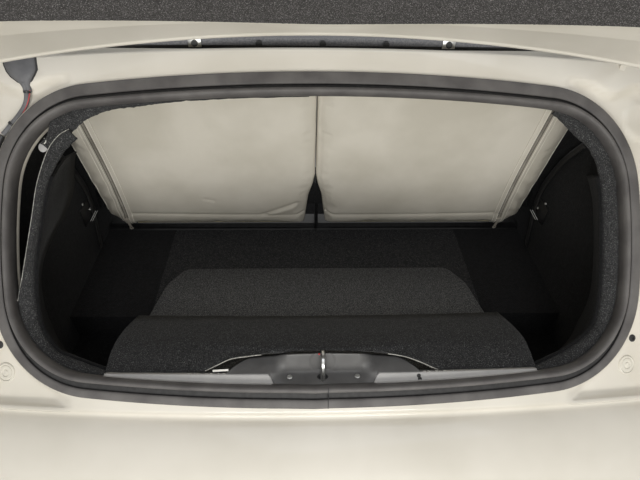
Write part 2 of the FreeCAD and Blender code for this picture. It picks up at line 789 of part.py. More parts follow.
def make_lid_panel():
    """Painted outer skin with its turned-down rim."""
    thick = dim.sheet_thick
    rim = lid_layer(0, dim.lid_low + thick, dim.lid_high).cut(
        prism(lid_wire(-thick), -DEEP, DEEP))
    half = dim.lid_half_width - dim.lid_corner_lower
    skirt = box((-half, half), (-dim.lid_lower, -dim.lid_lower + thick), (-DEEP, DEEP)).common(
        crown_slab(dim.skirt_low, dim.lid_low + thick))
    return lid_layer(0, dim.lid_high - thick, dim.lid_high).fuse([rim, skirt])


def make_lid_inner():
    """Painted inner frame: a wide border with a raised bead and two cross ribs."""
    thick = dim.sheet_thick
    low = dim.lid_low
    plate = lid_layer(0, low, low + thick)
    rim_room = box((-FAR, FAR), (-FAR, -dim.lid_lower + thick), (-DEEP, DEEP))
    under_lining = 40
    window = lid_layer(-dim.lid_border - under_lining, low, low + thick)
    rib_place, rib_half = 170, 30
    for centre in (-rib_place, rib_place):
        window = window.cut(box(
            (centre - rib_half, centre + rib_half), (-FAR, FAR), (-DEEP, DEEP)))
    bead_inset, bead_width, bead_tall = 22, 8, 3
    bead = lid_layer(-bead_inset, low - bead_tall, low).cut(
        prism(lid_wire(-bead_inset - bead_width), -DEEP, DEEP))
    hinge_room = box(
        (dim.hinge_u - 27, dim.hinge_u + 7), (dim.hinge_v - 74, dim.hinge_v - 14),
        (-DEEP, DEEP))
    stud_room = box(
        (dim.strut_u - 30, dim.strut_u - 5),
        (dim.strut_lid_v - 21, dim.strut_lid_v + 21), (-DEEP, DEEP))
    for room in (hinge_room, stud_room):
        bead = bead.cut(room).cut(mirrored(room))
    seat_half, seat_end = 60, LATCH_V[1] + 74
    latch_seat = box((-seat_half, seat_half), (-FAR, seat_end), (-DEEP, DEEP)).common(
        lid_layer(0, low, low + thick))
    return plate.cut(window).fuse(bead).fuse(latch_seat).cut(rim_room)


latch_room = box((-36, 36), (LATCH_V[0] - LINING_PAST, LATCH_V[1] + LINING_PAST), (-DEEP, DEEP))


def make_lid_lining():
    """Carpeted board that closes the lid's inner frame."""
    lining_thick = 5
    return lid_layer(-dim.lid_border, dim.lid_low - lining_thick, dim.lid_low).cut(latch_room)


def make_latch():
    """Latch housing: two cheeks that come down astride the striker's bar."""
    top = dim.lid_low - 0.01
    cheek_low, base_thick, corner, mouth_half = 10.5, 4, 6, 9
    block = box((-30, 30), LATCH_V, (cheek_low, top))
    base = box(
        (-34, 34), (LATCH_V[0] - BASE_PAST, LATCH_V[1] + BASE_PAST),
        (dim.lid_low - base_thick, top))
    mouth = box((-mouth_half, mouth_half), (-FAR, FAR), (0, dim.lid_low - 1))
    tall = [edge for edge in block.Edges if abs(edge.BoundBox.ZLength - edge.Length) < 0.01]
    block = block.makeFillet(corner, tall)
    return block.fuse(base).cut(mouth).common(crown_slab(0, dim.lid_low))


def make_handle():
    """Painted grip bar along the outer skin's lower edge, with a finger pocket behind it."""
    bar_half, pocket_half, bar_tall, pocket_tall = 170, 60, 12, 7
    lower, upper = -dim.lid_lower + 22, -dim.lid_lower + 50
    bar = box((-bar_half, bar_half), (lower, upper), (-DEEP, DEEP)).common(
        crown_slab(dim.lid_high, dim.lid_high + bar_tall))
    pocket = box((-pocket_half, pocket_half), (-FAR, lower + 10), (-DEEP, DEEP)).common(
        crown_slab(dim.lid_high, dim.lid_high + pocket_tall))
    return bar.cut(pocket)


add_node("lid_panel", make_lid_panel(), placed_on_lid())
add_node("lid_inner", make_lid_inner(), placed_on_lid())
add_node("lid_lining", make_lid_lining(), placed_on_lid())
add_node("lid_latch", make_latch(), placed_on_lid())
add_node("lid_handle", make_handle(), placed_on_lid())


def side_plate(corners, start, thick):
    """Upright plate square to the car's width, from corners in v and w."""
    wire = Part.makePolygon([point(start, v, w) for v, w in corners + corners[:1]])
    return Part.Face(wire).extrude(point(thick, 0, 0))


def make_hinge_arm():
    """Swan-necked arm from the lid's underside round its edge to the hinge pin."""
    u, thick = dim.hinge_u, dim.plate_thick + 1
    v, w = dim.hinge_v, dim.hinge_w
    foot_thick, web_deep, web_start = 4, 9, v - 65
    under = dim.lid_low - crown_drop(u) - foot_thick
    start = u - thick
    neck, neck_level = dim.lid_upper + 4, 10
    beyond = dim.eye_radius - 1
    web = side_plate([
        (web_start, under), (web_start, under - web_deep), (v - 1, under - web_deep),
        (v + beyond, under - web_deep + dim.eye_radius), (v + beyond, w), (v - beyond, w),
        (neck, neck_level), (neck, under)], start, thick)
    eye = Part.makeCylinder(dim.eye_radius, thick, point(start, v, w), X_AXIS)
    bore = Part.makeCylinder(
        dim.pin_radius + dim.pin_clearance, thick, point(start, v, w), X_AXIS)
    foot_end = v - 17
    foot = box((u - 24, u + 4), (web_start - 6, foot_end), (-DEEP, DEEP)).common(
        crown_slab(dim.lid_low - foot_thick, dim.lid_low))
    web_top = box((start, u), (web_start, foot_end), (under - 2, DEEP)).common(
        crown_slab(-DEEP, dim.lid_low - 2))
    return web.fuse([eye, foot, web_top]).cut(bore)


def make_hinge_base():
    """Bracket on the painted ear that carries the hinge pin."""
    u, thick = dim.hinge_u + 1, dim.plate_thick + 1
    v, w = dim.hinge_v, dim.hinge_w
    floor = -crown_drop(u)
    web_start, web_end, foot_thick, foot_half = v + 11, dim.ear_upper - 4, 4, 22
    web = side_plate(
        [(web_start, floor - 1), (web_end, floor - 1), (v + 15, w), (v - 9, w)], u, thick)
    web = web.common(crown_slab(foot_thick / 2, DEEP))
    eye = Part.makeCylinder(dim.eye_radius, thick, point(u, v, w), X_AXIS)
    pin_past = 10
    pin = Part.makeCylinder(
        dim.pin_radius, thick + pin_past + 2, point(u - pin_past, v, w), X_AXIS)
    foot = box(
        (u - foot_half, u + foot_half), (web_start - 4, dim.ear_upper - 1), (-DEEP, DEEP))
    foot = foot.common(crown_slab(0, foot_thick))
    return web.fuse([eye, foot]).fuse(pin)


add_pair("hinge_arm", make_hinge_arm(), placed_on_lid())
add_pair("hinge_base", make_hinge_base(), placed_in_plane())

# Gas struts. Each tube turns on a stud in the gutter, and its rod's eye sits on a stud of the lid


def swung(v, w):
    """Where a point of the shut lid lies once the lid is open."""
    turn = math.radians(-dim.lid_open)
    dv, dw = v - dim.hinge_v, w - dim.hinge_w
    return point(
        0, dim.hinge_v + dv * math.cos(turn) - dw * math.sin(turn),
        dim.hinge_w + dv * math.sin(turn) + dw * math.cos(turn))


strut_foot = point(dim.strut_u, dim.strut_body_v, dim.strut_w)
strut_head = swung(dim.strut_lid_v, dim.strut_lid_w) + point(dim.strut_u, 0, 0)
strut_along = (strut_head - strut_foot).normalize()
shut_length = math.hypot(
    dim.strut_lid_v - dim.strut_body_v, dim.strut_lid_w - dim.strut_w)


def make_strut_tube():
    """Cylinder of the gas strut, whose socket turns on the gutter's stud."""
    tube_start, neck_start, neck_radius, hollow_start = 14, 4, 5, 30
    tube_end = strut_foot + strut_along * (shut_length - dim.strut_cover)
    start = strut_foot - X_AXIS * dim.socket_half
    outer = Part.makeCylinder(dim.strut_radius, 2 * dim.socket_half, start, X_AXIS)
    bore = Part.makeCylinder(
        dim.stud_radius + dim.pin_clearance, 2 * dim.socket_half, start, X_AXIS)
    tube = rod(strut_foot + strut_along * tube_start, tube_end, dim.strut_radius)
    neck = rod(
        strut_foot + strut_along * neck_start, strut_foot + strut_along * (tube_start + 1),
        neck_radius)
    hollow = rod(
        strut_foot + strut_along * hollow_start, tube_end, dim.rod_radius + dim.side_gap)
    return tube.fuse([neck, outer]).cut([bore, hollow])


def make_strut_rod():
    """Rod of the gas strut. Its closed socket meets the lid's stud end to end."""
    outer = Part.makeCylinder(
        dim.strut_radius, 1.5 * dim.socket_half, strut_head - X_AXIS * (dim.socket_half / 2), X_AXIS)
    start = strut_foot + strut_along * (shut_length - dim.strut_cover - dim.strut_inside)
    bar = rod(start, strut_head - strut_along * 5, dim.rod_radius)
    return bar.fuse(outer)


def make_strut_bracket():
    """Bent plate in the gutter with the tube's stud."""
    u, v, w = strut_foot.x, strut_foot.y, strut_foot.z
    wall, foot_half, web_half = 3, 20, 12
    plate_in = u + dim.socket_half + 4
    foot = box((plate_in, plate_in + 15), (v - foot_half, v + foot_half), (-DEEP, DEEP))
    foot = foot.common(crown_slab(-dim.gutter_depth, -dim.gutter_depth + wall))
    web = box((plate_in, plate_in + wall), (v - web_half, v + web_half), (-DEEP, w + 10))
    web = web.common(crown_slab(-dim.gutter_depth, DEEP))
    stud_start = u - dim.socket_half - 1
    stud = Part.makeCylinder(
        dim.stud_radius, plate_in + 1 - stud_start, point(stud_start, v, w), X_AXIS)
    return foot.fuse([web, stud])


def make_lid_stud():
    """Bent plate under the lid with the rod's stud."""
    u, v, w = dim.strut_u, dim.strut_lid_v, dim.strut_lid_w
    wall, foot_half, web_half = 3, 18, 12
    plate_in = u - dim.socket_half - 5
    foot = box((plate_in - 16, plate_in + wall), (v - foot_half, v + foot_half), (-DEEP, DEEP))
    foot = foot.common(crown_slab(dim.lid_low - wall, dim.lid_low))
    web = box((plate_in, plate_in + wall), (v - web_half, v + web_half), (w - 9, DEEP))
    web = web.common(crown_slab(-DEEP, dim.lid_low))
    reach = u - dim.socket_half / 2 - dim.side_gap - plate_in
    stud = Part.makeCylinder(dim.stud_radius, reach, point(plate_in, v, w), X_AXIS)
    return foot.fuse([web, stud])


add_pair("strut_tube", make_strut_tube(), placed_in_plane())
add_pair("strut_rod", make_strut_rod(), placed_in_plane())
add_both("strut_brackets", make_strut_bracket(), placed_in_plane())
add_both("lid_studs", make_lid_stud(), placed_on_lid())

# Rear seatbacks, drawn flat in their own leaning frame


def seat_local(y, z):
    """A place of the car's side view in the seatback's frame: up its face, out to the rear."""
    lean = math.radians(dim.seat_lean)
    dy, dz = y - dim.seat_foot_y, z - dim.seat_foot_z
    return -dy * math.sin(lean) + dz * math.cos(lean), -dy * math.cos(lean) - dz * math.sin(lean)


pivot_up, pivot_out = seat_local(dim.seat_pivot_y, dim.seat_pivot_z)


def make_seatback():
    """Plain padded block of the right seatback, cut away at its lower corners."""
    inner, outer, tall = dim.seat_inner, dim.seat_outer, dim.seat_tall
    inner_cut, inner_cut_tall, outer_cut, outer_cut_tall = 18, 150, 34, 40
    outline = [
        (inner + inner_cut, 0), (outer - outer_cut, 0), (outer, outer_cut_tall),
        (outer, tall), (inner, tall), (inner, inner_cut_tall)]
    block = prism(polygon(outline), -dim.seat_thick, 0)
    faces = [
        edge for edge in block.Edges
        if abs(edge.CenterOfMass.z) < 0.01 or abs(edge.CenterOfMass.z + dim.seat_thick) < 0.01]
    return block.makeFillet(dim.seat_round, faces)


def seat_plate(start):
    """Steel plate beside the padding, with the eye that turns on the hinge pin."""
    thick, arm_tall = dim.plate_thick, 170
    eye = Part.makeCylinder(dim.eye_radius, thick, point(start, pivot_up, pivot_out), X_AXIS)
    arm = box(
        (start, start + thick), (pivot_up, pivot_up + arm_tall),
        (pivot_out - dim.eye_radius, pivot_out + dim.eye_radius))
    bore = Part.makeCylinder(
        dim.pin_radius + dim.pin_clearance, thick, point(start, pivot_up, pivot_out), X_AXIS)
    return arm.fuse(eye).cut(bore)


inner_plate = seat_plate(dim.seat_inner - dim.side_gap - dim.plate_thick)
outer_plate = seat_plate(dim.seat_outer + dim.side_gap)
add_pair("seatback", make_seatback(), placed_on_seat())
add_pair("seat_inner_plate", inner_plate, placed_on_seat())
add_pair("seat_outer_plate", outer_plate, placed_on_seat())


def make_side_bracket():
    """Bracket on the side liner with the outer hinge pin of a seatback."""
    wall = dim.tub_half_width
    thick = dim.plate_thick
    half, up, corner = 30, 24, 10
    y, z = dim.seat_pivot_y, dim.seat_pivot_z
    plate = box((wall - thick, wall), (y - half, y + half), (z - half, z + up))
    tall = [edge for edge in plate.Edges if edge.BoundBox.XLength > thick - 0.1]
    plate = plate.makeFillet(corner, tall)
    reach = wall - dim.seat_outer - dim.side_gap
    pin = Part.makeCylinder(dim.pin_radius, reach, point(wall - reach, y, z), X_AXIS)
    return plate.fuse(pin)


add_both("seat_side_brackets", make_side_bracket())


BEAM_TALL = 14


def make_seat_beam():
    """Cross beam on the floor below the seatbacks, a flanged hat section."""
    half = dim.tub_half_width - dim.side_gap
    base = dim.tub_floor - dim.carpet_thick
    rear, front = dim.carpet_front + 4, dim.carpet_front + 68
    flange, slant, wall = 14, 4, 4
    high = BEAM_TALL
    outline = [
        (rear, base), (rear + flange, base), (rear + flange + slant, base + high - wall),
        (front - flange - slant, base + high - wall), (front - flange, base), (front, base),
        (front, base + wall), (front - flange + wall - 1, base + wall),
        (front - flange - 1, base + high), (rear + flange + 1, base + high),
        (rear + flange - wall + 1, base + wall), (rear, base + wall)]
    wire = Part.makePolygon([point(-half, y, z) for y, z in outline + outline[:1]])
    return Part.Face(wire).extrude(point(2 * half, 0, 0))


add_node("seat_beam", make_seat_beam())

PIVOT_BRACKET = (
    ("Sizes.seat_pivot_y - 20", "Sizes.tub_floor - Sizes.carpet_thick + 14"),
    ("Sizes.seat_pivot_y + 28", "Sizes.tub_floor - Sizes.carpet_thick + 14"),
    ("Sizes.seat_pivot_y + 16", "Sizes.seat_pivot_z + 4"),
    ("Sizes.seat_pivot_y + 8", "Sizes.seat_pivot_z + 18"),
    ("Sizes.seat_pivot_y - 8", "Sizes.seat_pivot_z + 18"),
    ("Sizes.seat_pivot_y - 16", "Sizes.seat_pivot_z + 4"),
)
add_profile(
    "pivot_bracket", "YZ_Plane", PIVOT_BRACKET, "2 * Sizes.bracket_half",
    "-Sizes.bracket_half")

# Ends of the bolt through the pivot bracket: each seatback turns on one
bolt_end = Part.makeCylinder(
    dim.pin_radius, dim.seat_inner - dim.bracket_half - dim.side_gap,
    point(dim.bracket_half, dim.seat_pivot_y, dim.seat_pivot_z), X_AXIS)
add_both("pivot_pins", bolt_end)

# Steel rail of the folding hood, across the front of the deck


def make_hood_rail():
    """Square steel bar across the car."""
    centre = hood_rail_centre()
    depth, tall = dim.hood_rail_depth / 2, dim.hood_rail_tall / 2
    return box(
        (-dim.hood_rail_half, dim.hood_rail_half), (centre.y - depth, centre.y + depth),
        (centre.z - tall, centre.z + tall))


add_node("hood_rail", make_hood_rail())


def make_rail_bracket():
    """Bracket that carries the hood rail on the painted ear."""
    width, post_depth, foot_depth, foot_thick = 10, 12, 32, 3
    outer = dim.hood_rail_half - 6
    inner = outer - width
    y = hood_rail_centre().y
    low = hood_rail_centre().z - dim.hood_rail_tall / 2
    above_ear = crown_slab(0, DEEP)
    above_ear.Placement = placed_in_plane()
    post = box(
        (inner, outer), (y - post_depth / 2, y + post_depth / 2), (low - DEEP / 4, low))
    post = post.common(above_ear)
    foot_end = dim.ear_upper - 2
    foot = box((inner, outer), (foot_end - foot_depth, foot_end), (-DEEP, DEEP)).common(
        crown_slab(0, foot_thick))
    foot.Placement = placed_in_plane()
    return post.fuse(foot)


add_pair("hood_rail_bracket", make_rail_bracket())


def make_rail_bolts():
    """Round heads of the bolts along the rail's rear face."""
    rear = hood_rail_centre().y - dim.hood_rail_depth / 2
    level = hood_rail_centre().z
    first, spacing, count, head_tall = -195, 98, 5, 4
    heads = [
        Part.makeCylinder(
            dim.bolt_radius, head_tall, point(first + spacing * index, rear, level), -Y_AXIS)
        for index in range(count)]
    return Part.makeCompound(heads)


add_node("hood_rail_bolts", make_rail_bolts())

# Wiring of the lid: bellows on the deck's left ear, a short cable along the gutter, a connector

BOOT_U, BOOT_V, BOOT_END = -470, 276, 258
NECK_TALL = 7.6
boot_foot, boot_up = on_crown(BOOT_U, BOOT_V, 0.1)
boot_level = boot_foot.z + NECK_TALL
HARNESS = (
    (BOOT_U, BOOT_END, boot_level), (BOOT_U, 244, boot_level), (-484, 221, -56.7),
    (-495, 192, -55), (-508, 168, -57.4),
)


# Share of a run that the arc at its end may take
RUN_SHARE = 0.45


def tangent_tube(route, radius):
    """Tube along straight runs joined by arcs as wide as the runs allow."""
    corners = [point(*place) for place in route]
    edges = []
    start = corners[0]
    for before, corner, after in zip(corners, corners[1:], corners[2:]):
        to_start = (before - corner).normalize()
        to_end = (after - corner).normalize()
        reach = RUN_SHARE * min((before - corner).Length, (after - corner).Length)
        half_turn = 0.5 * (math.pi - to_start.getAngle(to_end))
        bend = reach / math.tan(half_turn)
        first, last = corner + to_start * reach, corner + to_end * reach
        toward = (to_start + to_end).normalize()
        centre_reach = bend / math.cos(half_turn)
        middle = corner + toward * (centre_reach - bend)
        edges.append(Part.makeLine(start, first))
        edges.append(Part.Arc(first, middle, last).toShape())
        start = last
    edges.append(Part.makeLine(start, corners[-1]))
    path = Part.Wire(edges)
    ring = Part.Wire(Part.makeCircle(radius, corners[0], corners[1] - corners[0]))
    return path.makePipeShell([ring], True, False)


route_end = point(*HARNESS[-1])
end_along = (route_end - point(*HARNESS[-2])).normalize()


def make_bellows():
    """Rubber elbow where the wiring leaves the painted ear, ribbed towards the gutter."""
    rows = ((0, 6), (5, 6), (6, 7.2), (9, 7.2), (10, 5), (12, 5), (13, 7.2), (16, 7.2), (17, 5),
            (19, 5), (20, 6.4), (23, 6.4), (24, 4.6))
    outline = [point(0, 0, 0)] + [point(radius, 0, along) for along, radius in rows]
    outline += [point(0, 0, rows[-1][0]), point(0, 0, 0)]
    boot = Part.Face(Part.makePolygon(outline)).revolve(ORIGIN, Z_AXIS, 360)
    rear = point(BOOT_U, BOOT_END + rows[-1][0], boot_level)
    boot.Placement = FreeCAD.Placement(rear, FreeCAD.Rotation(Z_AXIS, -Y_AXIS))
    base_radius, base_thick = 12, 2.5
    base = Part.makeCylinder(base_radius, base_thick, boot_foot, boot_up)
    neck = Part.makeCylinder(rows[0][1], NECK_TALL, boot_foot, boot_up)
    return boot.fuse([base, neck])


add_node("harness_boot", make_bellows(), placed_in_plane())
add_node("harness_cable", tangent_tube(HARNESS, dim.cable_radius), placed_in_plane())
PLUG_LONG, PLUG_COLLAR = 22, 6
plug_neck = route_end + end_along * PLUG_LONG
plug_body = rod(route_end, plug_neck, 6).fuse(
    rod(plug_neck, plug_neck + end_along * PLUG_COLLAR, 7.5))
add_node("harness_plug", plug_body, placed_in_plane())

# Channel behind the floor, where a bumper bolts on

BUMPER_BEAM = (
    ("Sizes.rail_rear", "Sizes.rail_wall"),
    ("Sizes.rail_rear", "2 * Sizes.rail_wall"),
    ("Sizes.rail_rear - Sizes.beam_depth + Sizes.rail_wall", "2 * Sizes.rail_wall"),
    ("Sizes.rail_rear - Sizes.beam_depth + Sizes.rail_wall", "Sizes.beam_height"),
    ("Sizes.rail_rear", "Sizes.beam_height"),
    ("Sizes.rail_rear", "Sizes.rail_wall + Sizes.beam_height"),
    ("Sizes.rail_rear - Sizes.beam_depth", "Sizes.rail_wall + Sizes.beam_height"),
    ("Sizes.rail_rear - Sizes.beam_depth", "Sizes.rail_wall"),
)
add_profile(
    "bumper_beam", "YZ_Plane", BUMPER_BEAM,
    "2 * (Sizes.tub_half_width - Sizes.rail_inset + Sizes.rail_half_width)",
    "Sizes.rail_inset - Sizes.tub_half_width - Sizes.rail_half_width")

doc.recompute()

failed = [item.Label for item in doc.Objects if "Invalid" in item.State or "Error" in item.State]
for node in NODES:
    if node.Shape.isNull() or not node.Shape.isValid() or not node.Shape.Solids:
        failed.append(node.Label)
if failed:
    raise SystemExit("failed: " + ", ".join(failed))
os.makedirs("parts", exist_ok=True)
for node in NODES:
    node.Shape.exportStep(os.path.join("parts", node.Label + ".step"))
    print(node.Label, len(node.Shape.Solids), round(node.Shape.Volume / 1000.0, 1))
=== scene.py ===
# %% [markdown]
# # The luggage compartment of a small open car
#
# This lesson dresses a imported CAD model: the painted rear end of an open car with its boot lid
# up, a rubber seal round the opening, a carpeted tub and two folding leather seatbacks behind it.
# Each step explains one real part, the ways it could be made, and why this way was chosen.

# %% Load the frame
import math

import bmesh
import bpy
from mathutils import Matrix, Vector, noise
from mathutils.bvhtree import BVHTree


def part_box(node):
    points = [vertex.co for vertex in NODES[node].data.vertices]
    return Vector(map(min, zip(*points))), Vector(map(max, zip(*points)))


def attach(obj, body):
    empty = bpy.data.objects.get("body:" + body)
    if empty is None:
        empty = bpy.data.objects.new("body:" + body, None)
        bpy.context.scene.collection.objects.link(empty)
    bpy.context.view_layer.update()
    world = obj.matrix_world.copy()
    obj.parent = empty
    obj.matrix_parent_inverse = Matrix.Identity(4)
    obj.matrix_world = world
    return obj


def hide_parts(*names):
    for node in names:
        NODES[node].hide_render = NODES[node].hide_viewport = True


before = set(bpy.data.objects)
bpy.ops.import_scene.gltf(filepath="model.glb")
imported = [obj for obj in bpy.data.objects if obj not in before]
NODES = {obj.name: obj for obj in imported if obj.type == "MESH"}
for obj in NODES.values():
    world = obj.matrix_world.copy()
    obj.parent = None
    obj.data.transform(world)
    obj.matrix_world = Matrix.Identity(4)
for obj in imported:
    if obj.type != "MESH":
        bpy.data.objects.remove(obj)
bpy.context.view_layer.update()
MM = 0.001
# Vector noise is shifted by a seed that would else come from the clock.
noise.seed_set(5)
print(len(NODES), "solids loaded")

# %% [markdown]
# ## The opening's own frame
#
# The opening lies in a plane that leans 48 degrees, and the sheet round it is crowned: it bends
# gently down towards the sides, as on a drum of 2.6 m radius. It is easiest to draw in flat
# millimetres, u across the car and v up the slope, and to let one function carry every point to
# its place. Its third number is the level above the painted face.

# %% Place points on the crowned face
CROWN = 2600.0
SLOPE = math.radians(48)
OPENING = Matrix.Translation((0, -0.125, 0.428)) @ Matrix.Rotation(SLOPE, 4, "X")
OUTWARD = OPENING.to_3x3() @ Vector((0, 0, 1))


def crowned(u, v, level=0.0):
    """World place of a point given across, up the slope, and above the painted face, in mm."""
    reach = CROWN + level
    turn = math.asin(max(-1.0, min(1.0, u / reach)))
    return OPENING @ Vector((u * MM, v * MM, (reach * math.cos(turn) - CROWN) * MM))


def soft_step(low, high, value):
    """0 below low, 1 above high, and a smooth slope between them."""
    part = max(0.0, min(1.0, (value - low) / (high - low)))
    return part * part * (3 - 2 * part)


print("middle of the opening:", tuple(round(value, 3) for value in crowned(0, 0)))

# %% [markdown]
# ## Camera
#
# The picture was taken by hand from just behind the car, looking steeply down into the boot
# with a wide lens. The camera is given by its place and three small turns, so its matrix can be
# written from three directions: to the right, up, and backwards.

# %% Set the camera
PITCH, YAW, ROLL = math.radians(42), 0.04045, 0.02288
CAMERA_PLACE = (-0.0267, -0.660, 0.910)
look = Vector((
    math.sin(YAW) * math.cos(PITCH), math.cos(YAW) * math.cos(PITCH), -math.sin(PITCH)))
level_right = Vector((math.cos(YAW), -math.sin(YAW), 0))
level_up = level_right.cross(look)
right = level_right * math.cos(ROLL) + level_up * math.sin(ROLL)
up = level_up * math.cos(ROLL) - level_right * math.sin(ROLL)

camera_data = bpy.data.cameras.new("camera")
camera_data.lens = 27
camera_data.sensor_width = 36
camera_data.sensor_fit = "HORIZONTAL"
camera_data.clip_start = 0.01
camera = bpy.data.objects.new("camera", camera_data)
turn = Matrix((right, up, -look)).transposed().to_4x4()
camera.matrix_world = Matrix.Translation(CAMERA_PLACE) @ turn
bpy.context.scene.collection.objects.link(camera)
bpy.context.scene.camera = camera

# %% [markdown]
# ## A small kit for materials
#
# A material is a tree of nodes. One helper adds a node, sets it up and joins its inputs, and
# that keeps each finish readable. Colours are written as sRGB hex codes, as a paint shop would
# give them, and turned to the linear values that shaders take. Patterns read Object
# coordinates in metres, so a scale of 1 / size gives a pattern of that size.

# %% Helpers for materials


def linear(code):
    """Linear red, green, blue and alpha of an sRGB hex code."""
    parts = [int(code[start:start + 2], 16) / 255 for start in (0, 2, 4)]
    return [
        part / 12.92 if part <= 0.04045 else ((part + 0.055) / 1.055) ** 2.4
        for part in parts] + [1.0]


def add(tree, kind, inputs=None, **settings):
    """A node with its settings, and its inputs set to values or linked to sockets."""
    made = tree.nodes.new("ShaderNode" + kind)
    for name, value in settings.items():
        setattr(made, name, value)
    for name, value in (inputs or {}).items():
        if isinstance(value, bpy.types.NodeSocket):
            tree.links.new(value, made.inputs[name])
        else:
            made.inputs[name].default_value = value
    return made


def finish(name, **values):
    """A new material: its tree, its shader with values set by socket name, and its coordinates."""
    made = bpy.data.materials.new(name)
    made.use_nodes = True
    tree = made.node_tree
    shader = tree.nodes["Principled BSDF"]
    for socket, value in values.items():
        shader.inputs[socket.replace("_", " ")].default_value = value
    place = tree.nodes.new("ShaderNodeTexCoord").outputs["Object"]
    print("finish:", name)
    return made, tree, shader, place


def grain(tree, place, size, detail=2.0):
    """Noise whose lumps are about this many millimetres across."""
    return add(
        tree, "TexNoise", {"Vector": place, "Scale": 1 / (size * MM), "Detail": detail}
    ).outputs["Fac"]


def blend_colours(tree, mask, low, high, start=0.35, end=0.65):
    """Ramp from one hex colour to another, over a part of a mask's range."""
    ramp = add(tree, "ValToRGB", {"Fac": mask})
    ramp.color_ramp.elements[0].position = start
    ramp.color_ramp.elements[0].color = linear(low)
    ramp.color_ramp.elements[1].position = end
    ramp.color_ramp.elements[1].color = linear(high)
    return ramp.outputs["Color"]


def relief(tree, height, depth, before=None):
    """Bump from a height, whose full range stands this many millimetres high."""
    inputs = {"Height": height, "Strength": 1.0, "Distance": depth * MM}
    if before is not None:
        inputs["Normal"] = before
    return add(tree, "Bump", inputs).outputs["Normal"]


def mottled(name, dark, pale, patch, pits, depth, detail=2.0, pit_detail=2.0, **values):
    """A finish of two colours in soft patches, under a skin of fine pits; sizes in mm."""
    made, tree, shader, place = finish(name, **values)
    shades = blend_colours(tree, grain(tree, place, patch, detail), dark, pale)
    tree.links.new(shades, shader.inputs["Base Color"])
    pitted = relief(tree, grain(tree, place, pits, pit_detail), depth)
    tree.links.new(pitted, shader.inputs["Normal"])
    return made


# %% [markdown]
# ## Ivory paint
#
# Body paint is a base coat under a clear coat. The base gives an even warm ivory and the clear
# coat gives a sharp reflection over it. Sprayed paint has a faint orange peel, about 4 mm
# between bumps, and dust leaves soft patches of a slightly deeper colour.

# %% Ivory two-layer paint
PAINT = mottled(
    "ivory_two_layer_paint", "D2CCBF", "DCD6CA", 160, 4, 0.012, detail=3,
    Roughness=0.38, Coat_Weight=0.8, Coat_Roughness=0.08)

# %% [markdown]
# ## Sealing rubber
#
# The seal is EPDM: a dense grey lip extruded with a soft foamed bulb. Fresh foam rubber is dull
# and black; dust and wear turn it a warm dark grey, lighter in broad patches. Its skin is
# pitted at about half a millimetre, drawn at 1.2 mm so that it shows.

# %% Foamed and dense rubber
RUBBER = mottled(
    "epdm_seal_rubber", "4F4C4B", "64615F", 45, 1.2, 0.08, detail=4, Roughness=0.62)
DARK_RUBBER = mottled(
    "moulded_black_rubber", "1E1D1D", "2B2A2A", 8, 0.9, 0.05, Roughness=0.55)

# %% [markdown]
# ## Needle-felt carpet
#
# Boot carpet is needle-punched fibre: near black, matt, with pale fibres mixed in that show as
# flecks of 1 to 2 mm. Three noises make it: a fine one cut high for the flecks, a coarser one
# for the clumps of pile, and one of 2 mm for the bump.

# %% Carpet and felt


def felt(name, dark, pale, fleck, share=0.62, size=2.2):
    """Fibre felt with pale flecks; share sets how few flecks there are."""
    made, tree, shader, place = finish(
        name, Roughness=0.95, Sheen_Weight=0.06, Sheen_Roughness=0.5, Specular_IOR_Level=0.12)
    clumps = blend_colours(tree, grain(tree, place, 7, 3), dark, pale, 0.3, 0.7)
    fine = grain(tree, place, size, 3)
    flecks = blend_colours(tree, fine, "000000", "FFFFFF", share, share + 0.08)
    mixed = add(tree, "Mix", data_type="RGBA")
    tree.links.new(flecks, mixed.inputs["Factor"])
    tree.links.new(clumps, mixed.inputs["A"])
    mixed.inputs["B"].default_value = linear(fleck)
    tree.links.new(mixed.outputs["Result"], shader.inputs["Base Color"])
    tree.links.new(relief(tree, grain(tree, place, 2.0, 4), 1.2), shader.inputs["Normal"])
    return made


CARPET = felt("needle_felt_carpet", "1E1E1F", "2B2B2C", "565655", 0.58, 1.4)
# Painted shade: the felt of the tub's walls, and of the dark sheets deep in it and behind the
# seats, is drawn darker than the floor's carpet for the shade there.
SHADED_FELT = felt("needle_felt_walls_painted_shade", "161617", "1F1F20", "333333")
EDGE_FELT = felt("needle_felt_edge", "292929", "363637", "6C6C6B", 0.57, 1.3)
LID_FELT = felt("lid_felt_lining", "383635", "474544", "8A8786", 0.56, 1.3)
PALE_FELT = felt("undyed_felt_backing", "8E8C86", "A9A7A0", "C4C2BB", 0.5)

# %% [markdown]
# The carpet of the floor board is the same kind of felt drawn lighter than the tub's carpet: that
# lighter colour is a painted pool of the light that falls through the opening. A ramp along the
# car then darkens it towards the seats, as painted shade where the deck keeps the light off.

# %% Carpet on the floor board, with painted light and painted shade towards the seats
# Painted light: the board's felt is lighter than the tub's carpet, for the light through the
# opening.
BOARD_FELT = felt("needle_felt_painted_light_and_shade", "444445", "555556", "A2A2A0", 0.55, 1.3)
tree = BOARD_FELT.node_tree
place = tree.nodes["Texture Coordinate"].outputs["Object"]
shader = tree.nodes["Principled BSDF"]
board_felt_colour = shader.inputs["Base Color"].links[0].from_socket
depth = add(tree, "SeparateXYZ", {"Vector": place}).outputs["Y"]
